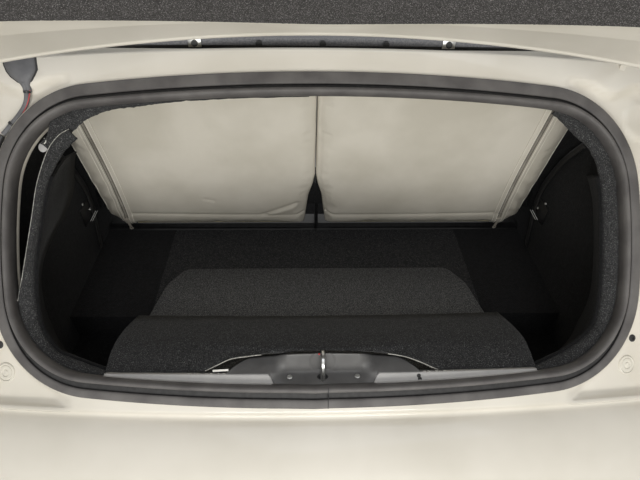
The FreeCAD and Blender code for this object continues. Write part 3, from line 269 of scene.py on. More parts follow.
# Painted shade: this ramp darkens the board's felt towards the seats, where the deck keeps the
# light off.
painted_shade_ramp = add(tree, "MapRange", {
    "Value": depth, "From Min": 0.13, "From Max": -0.06, "To Min": 0.45, "To Max": 1.0})
shade = add(tree, "Mix", {"Factor": 1.0}, data_type="RGBA", blend_type="MULTIPLY")
tree.links.new(board_felt_colour, shade.inputs["A"])
tree.links.new(painted_shade_ramp.outputs["Result"], shade.inputs["B"])
tree.links.new(shade.outputs["Result"], shader.inputs["Base Color"])

# %% [markdown]
# ## Moulded plastics
#
# The sill trim is moulded polypropylene with a fine grained surface, so it scatters light. The
# striker cover is the same plastic in a darker grey.

# %% Grained plastics


def moulded(name, dark, pale, rough):
    """Grained thermoplastic: fine pits and slight colour drift."""
    return mottled(name, dark, pale, 30, 0.8, 0.06, detail=3, Roughness=rough)


TRIM = moulded("grained_polypropylene", "AEACAA", "B8B6B3", 0.5)
COVER = moulded("dark_grained_plastic", "595857", "656463", 0.5)
BLACK_PLASTIC = moulded("black_moulded_plastic", "171718", "222223", 0.4)
CAP_PLASTIC = moulded("paint_matched_plug", "CDC8BC", "D9D4C8", 0.4)
WHITE_PLASTIC = moulded("natural_nylon_clip", "C9C7C0", "DAD8D2", 0.45)
RED_PLASTIC = moulded("red_wire_sleeve", "A3262A", "BC3236", 0.45)
SLEEVE = moulded("woven_loom_sleeve", "5A5A5C", "6E6E70", 0.7)

# %% [markdown]
# ## Metals
#
# Zinc-plated steel is pale, with a crystal mottle of some 3 mm. The hood rail is galvanised
# sheet with a rough dull skin, so it is drawn as only half metallic. Brackets in the boot are
# dipped in black paint. Metals keep the default IOR.

# %% Plated, rough and painted steel


def metal(name, dark, pale, rough, size, depth=0.02):
    """Steel with a mottled colour and a fine skin."""
    return mottled(
        name, dark, pale, size, size / 2, depth, detail=4, Roughness=rough, Metallic=1.0)


ZINC = metal("zinc_plated_steel", "B9B9B6", "D6D6D4", 0.28, 3.0)
RAW_STEEL = metal("galvanised_pressed_steel", "626265", "77777A", 0.5, 2.4, 0.1)
RAW_STEEL.node_tree.nodes["Principled BSDF"].inputs["Metallic"].default_value = 0.5
BLACK_STEEL = mottled(
    "black_dipped_steel", "121213", "1E1E1F", 12, 1.5, 0.04, Roughness=0.42)
UNDERSEAL = mottled(
    "sprayed_underseal", "19191A", "262627", 20, 3, 0.4, pit_detail=3, Roughness=0.85)

# %% [markdown]
# ## Leather
#
# The seat covers are pale coated leather. Its grain is a net of small flat cells, 1 to 2 mm
# across, drawn here with Voronoi cells softened by noise. Handling darkens it in wide, very
# faint patches.

# %% Coated leather
LEATHER, tree, shader, place = finish("pale_coated_leather", Roughness=0.5)
shades = grain(tree, place, 110, 3)
tree.links.new(
    blend_colours(tree, shades, "C9C3B5", "D6D0C3"), shader.inputs["Base Color"])
cells = add(
    tree, "TexVoronoi", {"Vector": place, "Scale": 1 / (1.6 * MM)}, feature="DISTANCE_TO_EDGE")
rounded = add(tree, "MapRange", {"Value": cells.outputs["Distance"], "From Max": 0.12})
grained = relief(tree, rounded.outputs["Result"], 0.05)
tree.links.new(relief(tree, grain(tree, place, 9, 3), 0.25, grained), shader.inputs["Normal"])

THREAD = moulded("pale_sewing_thread", "E9E4D8", "F2EEE4", 0.6)
TAPE = moulded("woven_zip_tape", "45423E", "54514B", 0.8)
COIL = moulded("nylon_zip_coil", "A09A8F", "B7B1A5", 0.5)
WELT = moulded("yellowed_welt", "DDD2A6", "E8DFB8", 0.5)

# %% [markdown]
# ## Dress the solids that stay
#
# Most CAD solids are already right in shape: pressed steel, rails, brackets, struts and the
# lid's shell. They keep their meshes and only get the new finishes.

# %% Give each kept solid its finish
FINISHES = (
    (PAINT, "lid_handle hinge_arm_ hinge_base_ rear_wall hood_rail_bracket_ strut_brackets "
            "lid_studs"),
    # The underseal also covers the floor pan's top face, where its dark, seen through the gap
    # between the seats, is painted shade.
    (UNDERSEAL, "floor_pan side_panel_ wheel_arch_"),
    (CARPET, "floor_carpet rear_carpet"),
    (SHADED_FELT, "side_carpet_"),
    (BLACK_STEEL, "floor_rail_ bumper_beam seat_beam pivot_bracket seat_side_brackets "
                  "seat_inner_plate_ seat_outer_plate_ strut_tube_"),
    (ZINC, "strut_rod_ pivot_pins"),
    (BLACK_PLASTIC, "lid_latch harness_plug hood_rail_bolts"),
)
for made, words in FINISHES:
    for word in words.split():
        names = [word] if not word.endswith("_") else [word + "right", word + "left"]
        for name in names:
            for slot in NODES[name].material_slots:
                slot.material = made

# %% [markdown]
# ## One way to make every new piece
#
# Each new piece is a bmesh that is turned into an object, given its finish and set to ride on a
# body. Its object stays at the origin, because the places are already in the mesh.
#
# Long parts of one section, such as the seal, are made like a knitted tube: a row of points is
# laid down, and each next row is the last one extruded and moved. The function below does that
# for a closed ring or an open strip. Each point remembers its column, so a rule can place it.

# %% Helpers for pieces


def piece(name, mesh, made, body="car_body", replaces=(), auto_smooth=40):
    """Object from a bmesh, smooth but for edges sharper than the given angle."""
    data = bpy.data.meshes.new(name)
    mesh.to_mesh(data)
    mesh.free()
    item = bpy.data.objects.new(name, data)
    bpy.context.scene.collection.objects.link(item)
    for finish_used in made if isinstance(made, (list, tuple)) else [made]:
        data.materials.append(finish_used)
    data.shade_smooth()
    data.set_sharp_from_angle(angle=math.radians(auto_smooth))
    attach(item, body)
    if replaces:
        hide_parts(*replaces)
    print(name, "has", len(data.polygons), "faces")
    return item


def modifier(item, kind, **settings):
    """A modifier with its settings."""
    made = item.modifiers.new(kind.lower(), kind)
    for name, value in settings.items():
        setattr(made, name, value)
    return made


def thicken(item, wall):
    """Give an open sheet its wall, in mm, behind its face."""
    modifier(item, "SOLIDIFY", thickness=wall * MM, offset=-1)


def across(column, count, half):
    """Where a loft's column lies across the car, when count of them reach from -half to half."""
    return half * (2 * column / (count - 1) - 1)


def loft(count, rows, spot, closed=False):
    """A strip or ring of points, extruded once per row; spot(column, row) places each point."""
    mesh = bmesh.new()
    column = mesh.verts.layers.int.new("column")
    lap = mesh.verts.layers.int.new("row")
    line = []
    for index in range(count):
        vert = mesh.verts.new(spot(index, rows[0]))
        vert[column] = index
        line.append(vert)
    ends = line[1:] + (line[:1] if closed else [])
    edges = [mesh.edges.new(pair) for pair in zip(line, ends)]
    for number, row in enumerate(rows[1:], 1):
        grown = bmesh.ops.extrude_edge_only(mesh, edges=edges)["geom"]
        for vert in grown:
            if isinstance(vert, bmesh.types.BMVert):
                vert.co = spot(vert[column], row)
                vert[lap] = number
        edges = [edge for edge in grown if isinstance(edge, bmesh.types.BMEdge)]
    bmesh.ops.recalc_face_normals(mesh, faces=mesh.faces)
    return mesh


def merged(name):
    """A copy of a CAD solid's mesh with its loose triangles joined."""
    mesh = bmesh.new()
    mesh.from_mesh(NODES[name].data)
    bmesh.ops.remove_doubles(mesh, verts=mesh.verts, dist=0.01 * MM)
    return mesh


# %% [markdown]
# Ribbons of carpet, welts, stitches and screw heads come back all over the car. A smooth line
# runs through a few places; a ribbon is a loft between two such lines; strands are thin rods
# along lines; and a turned head is a small profile spun about its axis.

# %% Helpers for lines, ribbons, strands and heads


def smooth_line(points, count):
    """Places on a curve that runs through every given point."""
    points = [Vector(point) for point in points]
    knots = [points[0] * 2 - points[1]] + points + [points[-1] * 2 - points[-2]]
    line = []
    for step in range(count):
        along = step / (count - 1) * (len(points) - 1)
        index = min(int(along), len(points) - 2)
        part = along - index
        before, start, end, after = knots[index:index + 4]
        line.append(0.5 * (
            2 * start + (end - before) * part
            + (2 * before - 5 * start + 4 * end - after) * part ** 2
            + (3 * start - before - 3 * end + after) * part ** 3))
    return line


FIBRES_PER_METRE = 220


def ribbon(near, far, rows, surface, fuzz=0.0):
    """A loft between two lines drawn on a surface; a row is a share across and a level."""
    def spot(column, row):
        share, level = row
        place = surface(*near[column].lerp(far[column], share), level)
        return place + noise.noise_vector(place * FIBRES_PER_METRE) * fuzz * MM
    return loft(len(near), rows, spot)


def strands(lines, radius, looped=False):
    """Thin round rods along lines of places, as one mesh."""
    curve = bpy.data.curves.new("strands", "CURVE")
    curve.dimensions = "3D"
    curve.bevel_depth = radius * MM
    curve.bevel_resolution = 1
    curve.use_fill_caps = True
    for line in lines:
        spline = curve.splines.new("NURBS" if len(line) > 2 else "POLY")
        spline.points.add(len(line) - 1)
        for point, place in zip(spline.points, line):
            point.co = (*place, 1)
        if len(line) > 2:
            spline.order_u = 3
            spline.use_cyclic_u = looped
            spline.use_endpoint_u = not looped
            spline.resolution_u = 4
    holder = bpy.data.objects.new("strands", curve)
    bpy.context.scene.collection.objects.link(holder)
    data = bpy.data.meshes.new_from_object(holder)
    mesh = bmesh.new()
    mesh.from_mesh(data)
    bpy.data.objects.remove(holder)
    bpy.data.curves.remove(curve)
    bpy.data.meshes.remove(data)
    return mesh


def turned(profile, segments=24):
    """A form turned about Z from (radius, height) pairs."""
    mesh = bmesh.new()
    line = [mesh.verts.new((radius * MM, 0, height * MM)) for radius, height in profile]
    edges = [mesh.edges.new(pair) for pair in zip(line, line[1:])]
    bmesh.ops.spin(
        mesh, geom=line + edges, cent=(0, 0, 0), axis=(0, 0, 1), angle=math.tau,
        steps=segments, use_merge=True)
    bmesh.ops.remove_doubles(mesh, verts=mesh.verts, dist=0.001 * MM)
    bmesh.ops.recalc_face_normals(mesh, faces=mesh.faces)
    return mesh


def slab(across, along, tall, edge):
    """A small block with rounded edges, standing on its own middle."""
    mesh = bmesh.new()
    bmesh.ops.create_cube(mesh, size=1.0)
    bmesh.ops.scale(mesh, vec=(across * MM, along * MM, tall * MM), verts=mesh.verts)
    bmesh.ops.bevel(
        mesh, geom=mesh.edges[:], offset=edge * MM, segments=3, profile=0.5, affect="EDGES",
        material=-1)
    return mesh


def facing(place, normal):
    """Matrix that stands a form on a place, with its Z along a normal."""
    return Matrix.Translation(place) @ normal.to_track_quat("Z", "Y").to_matrix().to_4x4()


def face_toward(mesh, direction):
    """Turn an open sheet's faces over if they look away from a direction."""
    if sum(face.normal.dot(direction) * face.calc_area() for face in mesh.faces) < 0:
        bmesh.ops.reverse_faces(mesh, faces=mesh.faces)
    return mesh


def gathered(forms):
    """One mesh from pairs of a mesh and the matrix that places it."""
    whole = bmesh.new()
    for form, matrix in forms:
        form.transform(matrix)
        data = bpy.data.meshes.new("form")
        form.to_mesh(data)
        form.free()
        whole.from_mesh(data)
        bpy.data.meshes.remove(data)
    return whole


# %% [markdown]
# ## The outline of the opening
#
# The outline is four wide arcs joined by four corner arcs. Only a quarter is drawn, as places
# with their outward directions, and mirrored twice. Growing the outline is then only moving
# each place outwards.

# %% Draw the outline once
TOP_CENTRE, TOP_RADIUS = Vector((0, 232 - 5450)), 5450.0
SIDE_CENTRE, SIDE_RADIUS = Vector((503 - 870, 0)), 870.0
CORNER_CENTRE, CORNER_RADIUS = Vector((354.0, 75.2)), 145.0
TOP_TURN = math.atan2(*(CORNER_CENTRE - TOP_CENTRE).yx)
SIDE_TURN = math.atan2(*(CORNER_CENTRE - SIDE_CENTRE).yx)


def quarter_outline():
    """Places and outward directions from the top middle round to the side middle."""
    quarter = []
    arcs = (
        (TOP_CENTRE, TOP_RADIUS, math.pi / 2, TOP_TURN, 26),
        (CORNER_CENTRE, CORNER_RADIUS, TOP_TURN, SIDE_TURN, 30),
        (SIDE_CENTRE, SIDE_RADIUS, SIDE_TURN, 0.0, 14))
    for centre, radius, start, end, steps in arcs:
        for step in range(steps):
            turn = start + (end - start) * step / steps
            outward = Vector((math.cos(turn), math.sin(turn)))
            quarter.append((centre + outward * radius, outward))
    quarter.append((SIDE_CENTRE + Vector((SIDE_RADIUS, 0)), Vector((1, 0))))
    return quarter


def flipped(part, across, along):
    """The same places mirrored, by signs for u and v."""
    sign = Vector((across, along))
    return [(place * sign, outward * sign) for place, outward in part]


quarter = quarter_outline()
OUTLINE = quarter[:-1]
OUTLINE += flipped(quarter[1:][::-1], 1, -1)
OUTLINE += flipped(quarter[1:-1], -1, -1)
OUTLINE += flipped(quarter[::-1][:-1], -1, 1)
print(len(OUTLINE), "places round the opening")


def from_outline(u, v):
    """Distance of a point outside the outline, or less than zero inside it."""
    spot = Vector((abs(u), abs(v)))
    turn = math.atan2(*(spot - CORNER_CENTRE).yx)
    if TOP_TURN >= turn >= SIDE_TURN:
        return (spot - CORNER_CENTRE).length - CORNER_RADIUS
    top = (spot - TOP_CENTRE).length - TOP_RADIUS
    side = (spot - SIDE_CENTRE).length - SIDE_RADIUS
    return max(top, side)


def set_off(u, v, reach):
    """The point moved straight in or out to a distance from the outline."""
    step = 0.5
    slope = Vector((
        from_outline(u + step, v) - from_outline(u - step, v),
        from_outline(u, v + step) - from_outline(u, v - step))) / (2 * step)
    return Vector((u, v)) + slope * (reach - from_outline(u, v))


def off_sheet(u, v, level=0.0):
    """Place and outward normal on the crowned face, for heads and caps."""
    normal = OPENING.to_3x3() @ Vector((u / CROWN, 0, 1)).normalized()
    return crowned(u, v, level), normal


# %% [markdown]
# ## Painted sheet round the opening
#
# The land, gutters and fender edges are one pressing. A fine grid is the simplest start: every
# point is lifted by a height rule, points inside the opening are taken out, and the row left
# round the hole is drawn on to a clean line under the seal. The gutters have soft walls here,
# as pressed sheet does.

# %% Press the painted sheet
HALF_WIDTH, LOWER, UPPER, EAR_UPPER, EAR_INNER = 612, -262, 290, 330, 470
CELL = 5.2
HOLE = -12.0
GUTTER_DEPTH, GUTTER_END, FENDER_RISE = 15, 243, 50
GROMMET_U, GROMMET_DIP = 474, 16
BOSS_U, BOSS_V, BOSS_RISE = 534, 198, 3.5


def press_height(u, v):
    """Level of the pressed sheet: gutters beside the opening, fenders at the sides."""
    reach, side = from_outline(u, v), abs(u)
    shelf_edge = GUTTER_END - GROMMET_DIP * math.exp(-((side - GROMMET_U) / 30) ** 2)
    gutter = min(
        soft_step(22, 32, reach), soft_step(380, 430, side), 1 - soft_step(566, 580, side),
        soft_step(LOWER, LOWER + 12, v), 1 - soft_step(shelf_edge, shelf_edge + 12, v))
    boss = 1 - soft_step(29, 34, math.hypot(side - BOSS_U, v - BOSS_V))
    fender = FENDER_RISE * soft_step(578, 586, side)
    return -GUTTER_DEPTH * gutter + BOSS_RISE * boss * gutter + fender


sheet = bmesh.new()
columns = round(2 * HALF_WIDTH / CELL)
rows = round((EAR_UPPER - LOWER) / CELL)
bmesh.ops.create_grid(sheet, x_segments=columns, y_segments=rows, size=0.5)
middle_v = (EAR_UPPER + LOWER) / 2
for vert in sheet.verts:
    vert.co = Vector((
        vert.co.x * 2 * HALF_WIDTH, vert.co.y * (EAR_UPPER - LOWER) + middle_v, 0))
waste = [
    vert for vert in sheet.verts
    if from_outline(vert.co.x, vert.co.y) < HOLE - CELL / 2
    or (abs(vert.co.x) < EAR_INNER and vert.co.y > UPPER)]
bmesh.ops.delete(sheet, geom=waste, context="VERTS")
for vert in sheet.verts:
    u, v = vert.co.x, vert.co.y
    if vert.is_boundary and from_outline(u, v) < 0:
        u, v = set_off(u, v, HOLE)
    vert.co = crowned(u, v, press_height(u, v))
bmesh.ops.recalc_face_normals(sheet, faces=sheet.faces)
face_toward(sheet, OUTWARD)
surround = piece(
    "painted_surround", sheet, PAINT, auto_smooth=60,
    replaces=("deck_panel", "sill_panel", "quarter_panel_right", "quarter_panel_left"))
thicken(surround, 4)

# %% [markdown]
# ## Rear skin below the sill
#
# The skin turns down from the sill over two sharp creases and then runs in one broad curve to
# the bumper line. A loft across the car gives it: every column is the same side view, with
# rows close together where the sheet is creased so that the light breaks there.

# %% Loft the rear skin
SKIN = (
    (-258, -3.5), (-262, -3.6), (-263.5, -4.4), (-266, -6.0), (-268.5, -6.6), (-271, -5.6),
    (-274, -3.2), (-280, 1.2), (-292, 8.4), (-305, 14), (-320, 18.8), (-336, 22.6), (-352, 25),
    (-378, 25.2), (-404, 24), (-430, 22), (-450, 17.4), (-470, 9.5), (-485, -1.0), (-500, -14),
    (-512, -28), (-524, -44), (-534, -58), (-540, -70))
SKIN_COLUMNS, LOWEST = 81, 0.011


def skin_spot(column, row):
    """Place on the rear skin, which ends just above the ground."""
    place = crowned(across(column, SKIN_COLUMNS, HALF_WIDTH), row[0], row[1])
    place.z = max(place.z, LOWEST)
    return place


skin = loft(SKIN_COLUMNS, SKIN, skin_spot)
face_toward(skin, Vector((0, -1, 0)))
rear_skin = piece(
    "rear_skin", skin, PAINT, replaces=("rear_valance",), auto_smooth=70)
thicken(rear_skin, 3)

# %% [markdown]
# ## The rubber seal
#
# The seal is one extruded profile bent round the flange: a flat outer lip on the paint, a
# groove, and a round hollow bulb that the lid presses on. The profile is written once, as
# offsets from the outline and levels above the paint, and lofted round it as a closed ring.

# %% Loft the seal
LIP = (
    (20.4, 0.3), (20.4, 1.8), (19.8, 3.2), (18.4, 4.1), (16.4, 4.6), (10.0, 4.9), (4.6, 4.7),
    (2.4, 4.1), (1.4, 2.8), (1.1, 1.2))
GROOVE = ((0.8, 0.5), (-1.4, 0.5), (-3.6, 0.5))
BULB_CENTRE, BULB_ACROSS, BULB_TALL = -9.9, 5.7, 10.6
BULB = [
    (BULB_CENTRE + BULB_ACROSS * math.cos(math.pi * step / 14),
     3.0 + BULB_TALL * math.sin(math.pi * step / 14)) for step in range(15)]
INNER = ((-15.4, 0.0), (-15.2, -3.6), (-14.4, -4.4), (-12.2, -4.4), (-12.2, 0.2))
PROFILE = list(LIP) + list(GROOVE) + BULB + list(INNER) + [LIP[0]]
SPLICE_U, SPLICE_STEP = 5.5, 1.1
CARRIER_DEEP, LIP_DRAWN_OUT = 10.0, 4.8


def seal_spot(column, row):
    """Place on the seal: its ends meet at the splice, and its carrier is deeper at the sides."""
    place, outward = OUTLINE[column]
    late = soft_step(-60, SPLICE_U, place.x) if place.y < 0 and place.x <= SPLICE_U else 0.0
    spot = place + outward * (row[0] + SPLICE_STEP * late)
    deep = CARRIER_DEEP * soft_step(330, 440, abs(place.x)) if row[1] < -3 else 0.0
    if 0.7 < row[0] < 12:
        at_bottom = soft_step(110, 205, -place.y)
        spot += outward * LIP_DRAWN_OUT * at_bottom * (1 - soft_step(3, 12, row[0]))
    return crowned(spot.x, spot.y, row[1] - deep)


seal_mesh = loft(len(OUTLINE), PROFILE, seal_spot, closed=True)
row_of = seal_mesh.verts.layers.int["row"]
# Painted shade: the faces in and beside the groove take the black rubber, for the shade down in
# the groove.
groove_shade_rows = range(len(LIP) - 2, len(LIP) + len(GROOVE) + 2)
for face in seal_mesh.faces:
    face.material_index = int(all(vert[row_of] in groove_shade_rows for vert in face.verts))
bmesh.ops.remove_doubles(seal_mesh, verts=seal_mesh.verts, dist=0.02 * MM)
bmesh.ops.recalc_face_normals(seal_mesh, faces=seal_mesh.faces)
piece(
    "rubber_seal", seal_mesh, (RUBBER, DARK_RUBBER), replaces=("opening_seal",),
    auto_smooth=50)

# %% [markdown]
# The seal's two ends meet at the bottom, where they are moulded together. A thin dark strip of
# the same section, laid 0.3 mm proud of the seal, shows that splice as a fine line.

# %% Mark the splice
splice_rows = [row for row in PROFILE[:-2] if row[1] > 0.2]
splice_mesh = loft(2, splice_rows, lambda column, row: crowned(
    SPLICE_U + 1.1 * column, -232 - row[0] - 0.5, row[1] + 0.3))
splice = piece("seal_splice", splice_mesh, DARK_RUBBER)
thicken(splice, 0.5)

# %% [markdown]
# ## Floor board
#
# The loose board on the floor is pressed fibre wrapped in carpet: narrower towards the seats,
# with soft edges. Its outline is drawn as a few corners, made a face, rounded at the corners,
# thickened and bevelled.

# %% Cut the floor board
BOARD = (
    (-359, -270), (359, -270), (359, -43), (335, 73), (300, 122), (-300, 122), (-335, 73),
    (-359, -43))
BOARD_LOW, BOARD_THICK = 110.5, 9.3
board = bmesh.new()
corners = [board.verts.new((x * MM, y * MM, BOARD_LOW * MM)) for x, y in BOARD]
board.faces.new(corners)
board.normal_update()
bmesh.ops.bevel(
    board, geom=board.verts[:], offset=14 * MM, segments=5, profile=0.5, affect="VERTICES",
    material=-1)
top = bmesh.ops.extrude_face_region(board, geom=board.faces[:])["geom"]
lifted = [vert for vert in top if isinstance(vert, bmesh.types.BMVert)]
bmesh.ops.translate(board, verts=lifted, vec=(0, 0, BOARD_THICK * MM))
bmesh.ops.recalc_face_normals(board, faces=board.faces)
rim = [
    edge for edge in board.edges
    if all(vert.co.z > 0.115 for vert in edge.verts) and edge.calc_face_angle(0) > 1]
bmesh.ops.bevel(
    board, geom=rim, offset=4 * MM, segments=4, profile=0.5, affect="EDGES", material=-1)
piece(
    "carpeted_floor_board", board, BOARD_FELT, replaces=("floor_board",))

# %% [markdown]
# ## Sill trim and striker cover
#
# A grey moulded strip clips over the sill inside the seal. In its middle a darker cover dips
# round the striker: a level shelf with two screws, a steep wall behind it that catches the
# light, and two sloping wings. Trim and cover meet on one line, so one function draws it for
# both, and both are lofts across the car.

# %% Loft the sill trim
BULB_EDGE = -15.8
FOOT_V, FOOT_BOW, NOTCH = -201.5, 2, 17
TRIM_COLUMNS, TRIM_HALF = 169, 336


def shared_edge(u):
    """v of the line where the cover ends and the trim starts; it dips round the striker."""
    return FOOT_V - FOOT_BOW * (u / 340) ** 2 - NOTCH * (1 - soft_step(74, 83, abs(u)))


def trim_edge(u):
    """v of the trim's near edge, along the seal's bulb."""
    return set_off(u, -232 - TOP_RADIUS + math.sqrt(TOP_RADIUS ** 2 - u * u), BULB_EDGE).y


def trim_spot(column, row):
    """Place on the trim, between the shared line and the bulb."""
    u = across(column, TRIM_COLUMNS, TRIM_HALF)
    far, near = shared_edge(u), min(trim_edge(u), shared_edge(u) - 0.4)
    share, level = row
    return crowned(u, far + (near - far) * share, level)


trim_rows = (
    (0, -16), (0, -4.4), (0.05, -3.2), (0.16, -2.6), (0.5, -2.3), (0.8, -2.2), (0.93, -1.8),
    (0.99, -0.6), (1, 1.2), (1.02, 1.8))
trim = face_toward(loft(TRIM_COLUMNS, trim_rows, trim_spot), OUTWARD)
sill = piece("moulded_sill_trim", trim, TRIM, replaces=("sill_trim",))
thicken(sill, 1.4)

# %% Loft the striker cover
COVER_COLUMNS, WING_END = 181, 147.5
POCKET_FULL, POCKET_END = 54, 80
RECESS, RECESS_DEPTH = Vector((-1.9, -185.5)), 1.6
SHELF_EDGE, WALL_FOOT, WALL_SLOPE = -218, -202.7, 0.55


def cover_top(u):
    """v of the cover's far edge, which falls away along the wings."""
    side = abs(u)
    return -171 - 6 * (side / 116) ** 2 - 24 * max(0.0, (side - 112) / 40) ** 1.6


def cover_level(u, v):
    """Level of the cover: flat wings, and a pocket with a level shelf and a steep wall."""
    shelf = -1.5 - (v - SHELF_EDGE) * math.tan(SLOPE)
    wall = -18.5 + (v - WALL_FOOT) * WALL_SLOPE
    pocket = (shelf + wall + math.hypot(shelf - wall, 2)) / 2
    in_recess = (1 - soft_step(18.4, 20, (Vector((u, v)) - RECESS).length)) * (v > -200)
    pocket -= RECESS_DEPTH * in_recess
    wing = -3 - 1.02 * max(0.0, v - FOOT_V)
    share = 1 - soft_step(POCKET_FULL, POCKET_END, abs(u))
    return wing + (pocket - wing) * share


def cover_spot(column, row):
    """Place on the cover, between the shared line and its far edge."""
    u = across(column, COVER_COLUMNS, WING_END)
    share, drop = row
    far = cover_top(u)
    far -= 0.22 * (far - FOOT_V) * soft_step(POCKET_FULL, POCKET_END, abs(u))
    v = shared_edge(u) + (far - shared_edge(u)) * share
    return crowned(u, v, cover_level(u, v) - drop)


cover_rows = [(0, 6), (0, 1.2), (0.01, 0.3)]
cover_rows += [(0.03 + 0.94 * step / 26, 0) for step in range(27)]
cover_rows += [(0.99, 0.4), (1, 1.6), (1, 10)]
shell = face_toward(loft(COVER_COLUMNS, cover_rows, cover_spot), OUTWARD)
cover = piece(
    "moulded_striker_cover", shell, COVER, replaces=("striker_cover",),
    auto_smooth=55)
thicken(cover, 1.6)

# %% [markdown]
# The striker is one bent rod of plated steel that the latch grips. A rod along a smooth line is
# the plainest way to a bend whose thickness never changes. The screws, the slot round its foot
# and the trim's two clip holes are turned heads and rims, dropped on the shelf or the sheet.

# %% Striker, screws and small holes
UP = Vector((0, 0, 1))
SHELF_V = -208.6
LOOP = (
    (-261.5, 258), (-260.5, 284), (-258.5, 296), (-252.5, 303), (-244, 304.3), (-236.5, 301),
    (-233.5, 294), (-233.5, 280))
loop_line = [Vector((-1.5, y, z)) * MM for y, z in smooth_line(LOOP, 26)]
piece(
    "plated_striker", strands([loop_line], 3.6), ZINC, replaces=("striker",))
SCREW_HEAD = ((0, 0.8), (1.3, 0.8), (1.5, 1.7), (2.6, 1.9), (3.5, 1.5), (4.2, 0.5), (4.3, 0))
SLOT_LIP = ((0, 0.2), (4.6, 0.2), (5.2, 0.7), (6.0, 0.6), (6.4, 0))
HOLE_LIP = ((0, 0.15), (1.9, 0.15), (2.2, 0.6), (2.9, 0.6), (3.2, 0))


def on_shelf(u, lift=0.0):
    """Upright matrix on the cover's shelf."""
    return facing(crowned(u, SHELF_V, cover_level(u, SHELF_V) + lift), UP)


piece(
    "cover_screws", gathered([(turned(SCREW_HEAD), on_shelf(u)) for u in (-51.7, 51.7)]),
    ZINC)
# Painted shade: the slot and the clip holes are flat black discs inside their rims, standing for
# the dark down in them.
narrow = Matrix.Diagonal((1.35, 0.8, 1, 1))
piece(
    "striker_foot_slot", gathered([(turned(SLOT_LIP), on_shelf(-1.5, 0.2) @ narrow)]),
    BLACK_PLASTIC)
piece("trim_clip_holes", gathered([
    (turned(HOLE_LIP), facing(*off_sheet(u, v, level)))
    for u, v, level in ((145.0, -207.4, -2.4), (146.5, -212.2, -2.0))]), BLACK_PLASTIC)
mark = turned(((0, 1.5), (1.1, 1.1), (1.6, 0)), 12)
piece("red_torque_mark", gathered([(mark, facing(*off_sheet(-7, -171.0, 0.6)))]), RED_PLASTIC)

# %% [markdown]
# ## Carpet round the opening
#
# The carpet of the tub ends on a flange under the seal. On the right it is tucked in neatly; on
# the left its edge has come off and stands free, so its pale backing and the painted flange
# show. Each edge is a ribbon between two smooth lines drawn on the crowned face, rolled a
# little and fuzzed by noise, and below it a strip of wall felt hangs down into the tub.

# %% Carpet edges at the sides
EDGE_COUNT = 120
RIGHT_INNER = (
    (373, 203), (393, 188), (415, 168), (436, 152), (454, 122), (463, 80), (465, 36), (465, -30),
    (460, -101), (443, -148), (401, -178), (367, -193), (337, -204))
LEFT_INNER = (
    (-386, 161), (-401, 149), (-418, 127), (-433, 99), (-442, 65), (-449, 26), (-456, -15),
    (-459, -55), (-458, -92), (-449, -138), (-422, -173), (-399, -183), (-367, -194), (-338, -203))
LEFT_FREE = (
    (-394, 174), (-411, 165), (-428, 145), (-441, 114), (-450, 83), (-456, 46), (-464, 0),
    (-473, -50), (-482, -95))
TUCK = -13.0
ROLL_ROWS = (
    (0, -8.5), (0.12, -7), (0.35, -7), (0.6, -9), (0.8, -12), (0.93, -16), (1, -20))
WALL_TOP = 105
WALL_ROWS = ((0.98, -19), (1, -24), (0.6, -60), (0.1, -110), (-0.3, -170))


def carpet_edge(name, outer, inner, node):
    """A rolled carpet edge in place of its CAD solid."""
    mesh = ribbon(outer, inner, ROLL_ROWS, crowned, fuzz=1.1)
    item = piece(
        name, face_toward(mesh, OUTWARD), EDGE_FELT, replaces=(node,),
        auto_smooth=80)
    thicken(item, 3)
    pairs = [pair for pair in zip(outer, inner) if pair[1].y < WALL_TOP]
    wide = [inward + (outward - inward).normalized() * 60 for outward, inward in pairs]
    wall = face_toward(ribbon(wide, [inward for _, inward in pairs], WALL_ROWS, crowned), OUTWARD)
    behind = piece(name.replace("edge", "wall"), wall, SHADED_FELT, auto_smooth=80)
    thicken(behind, 3)


right_inner = smooth_line(RIGHT_INNER, EDGE_COUNT)
right_outer = [set_off(*place, TUCK) for place in right_inner]
carpet_edge("carpet_edge_right", right_outer, right_inner, "liner_flange_right")

left_inner = smooth_line(LEFT_INNER, EDGE_COUNT)
left_tucked = [set_off(*place, TUCK) for place in LEFT_INNER[len(LEFT_FREE):]]
left_outer = smooth_line(list(LEFT_FREE) + left_tucked, EDGE_COUNT)
carpet_edge("carpet_edge_left", left_outer, left_inner, "liner_flange_left")
free_part = smooth_line(LEFT_FREE, 40)
piece(
    "pale_carpet_backing", strands([[crowned(*place, -7.6) for place in free_part]], 0.55),
    PALE_FELT)

# %% [markdown]
# Where the carpet has come off, the body's flange shows its painted edge, and a strip of felt
# hangs along the opening's upper left. The flange follows the outline that is already drawn, so it
# is lofted along a part of it; the felt is another fuzzed ribbon.

# %% Painted flange and the felt at the upper left
bare = [
    index for index, (place, outward) in enumerate(OUTLINE)
    if place.x < -395 and -95 < place.y < 206]
FLANGE = ((-14.0, -8), (-14.0, -22), (-13.4, -24), (-12.0, -24.6))


def flange_spot(column, row):
    """Place on the flange, whose rows are distances from the outline and levels."""
    place, outward = OUTLINE[bare[column]]
    spot = place + outward * row[0]
    return crowned(spot.x, spot.y, row[1])


flange = face_toward(loft(len(bare), FLANGE, flange_spot), Vector((1, 0, 0)))
painted_flange = piece("painted_flange_edge", flange, PAINT)
thicken(painted_flange, 1.2)

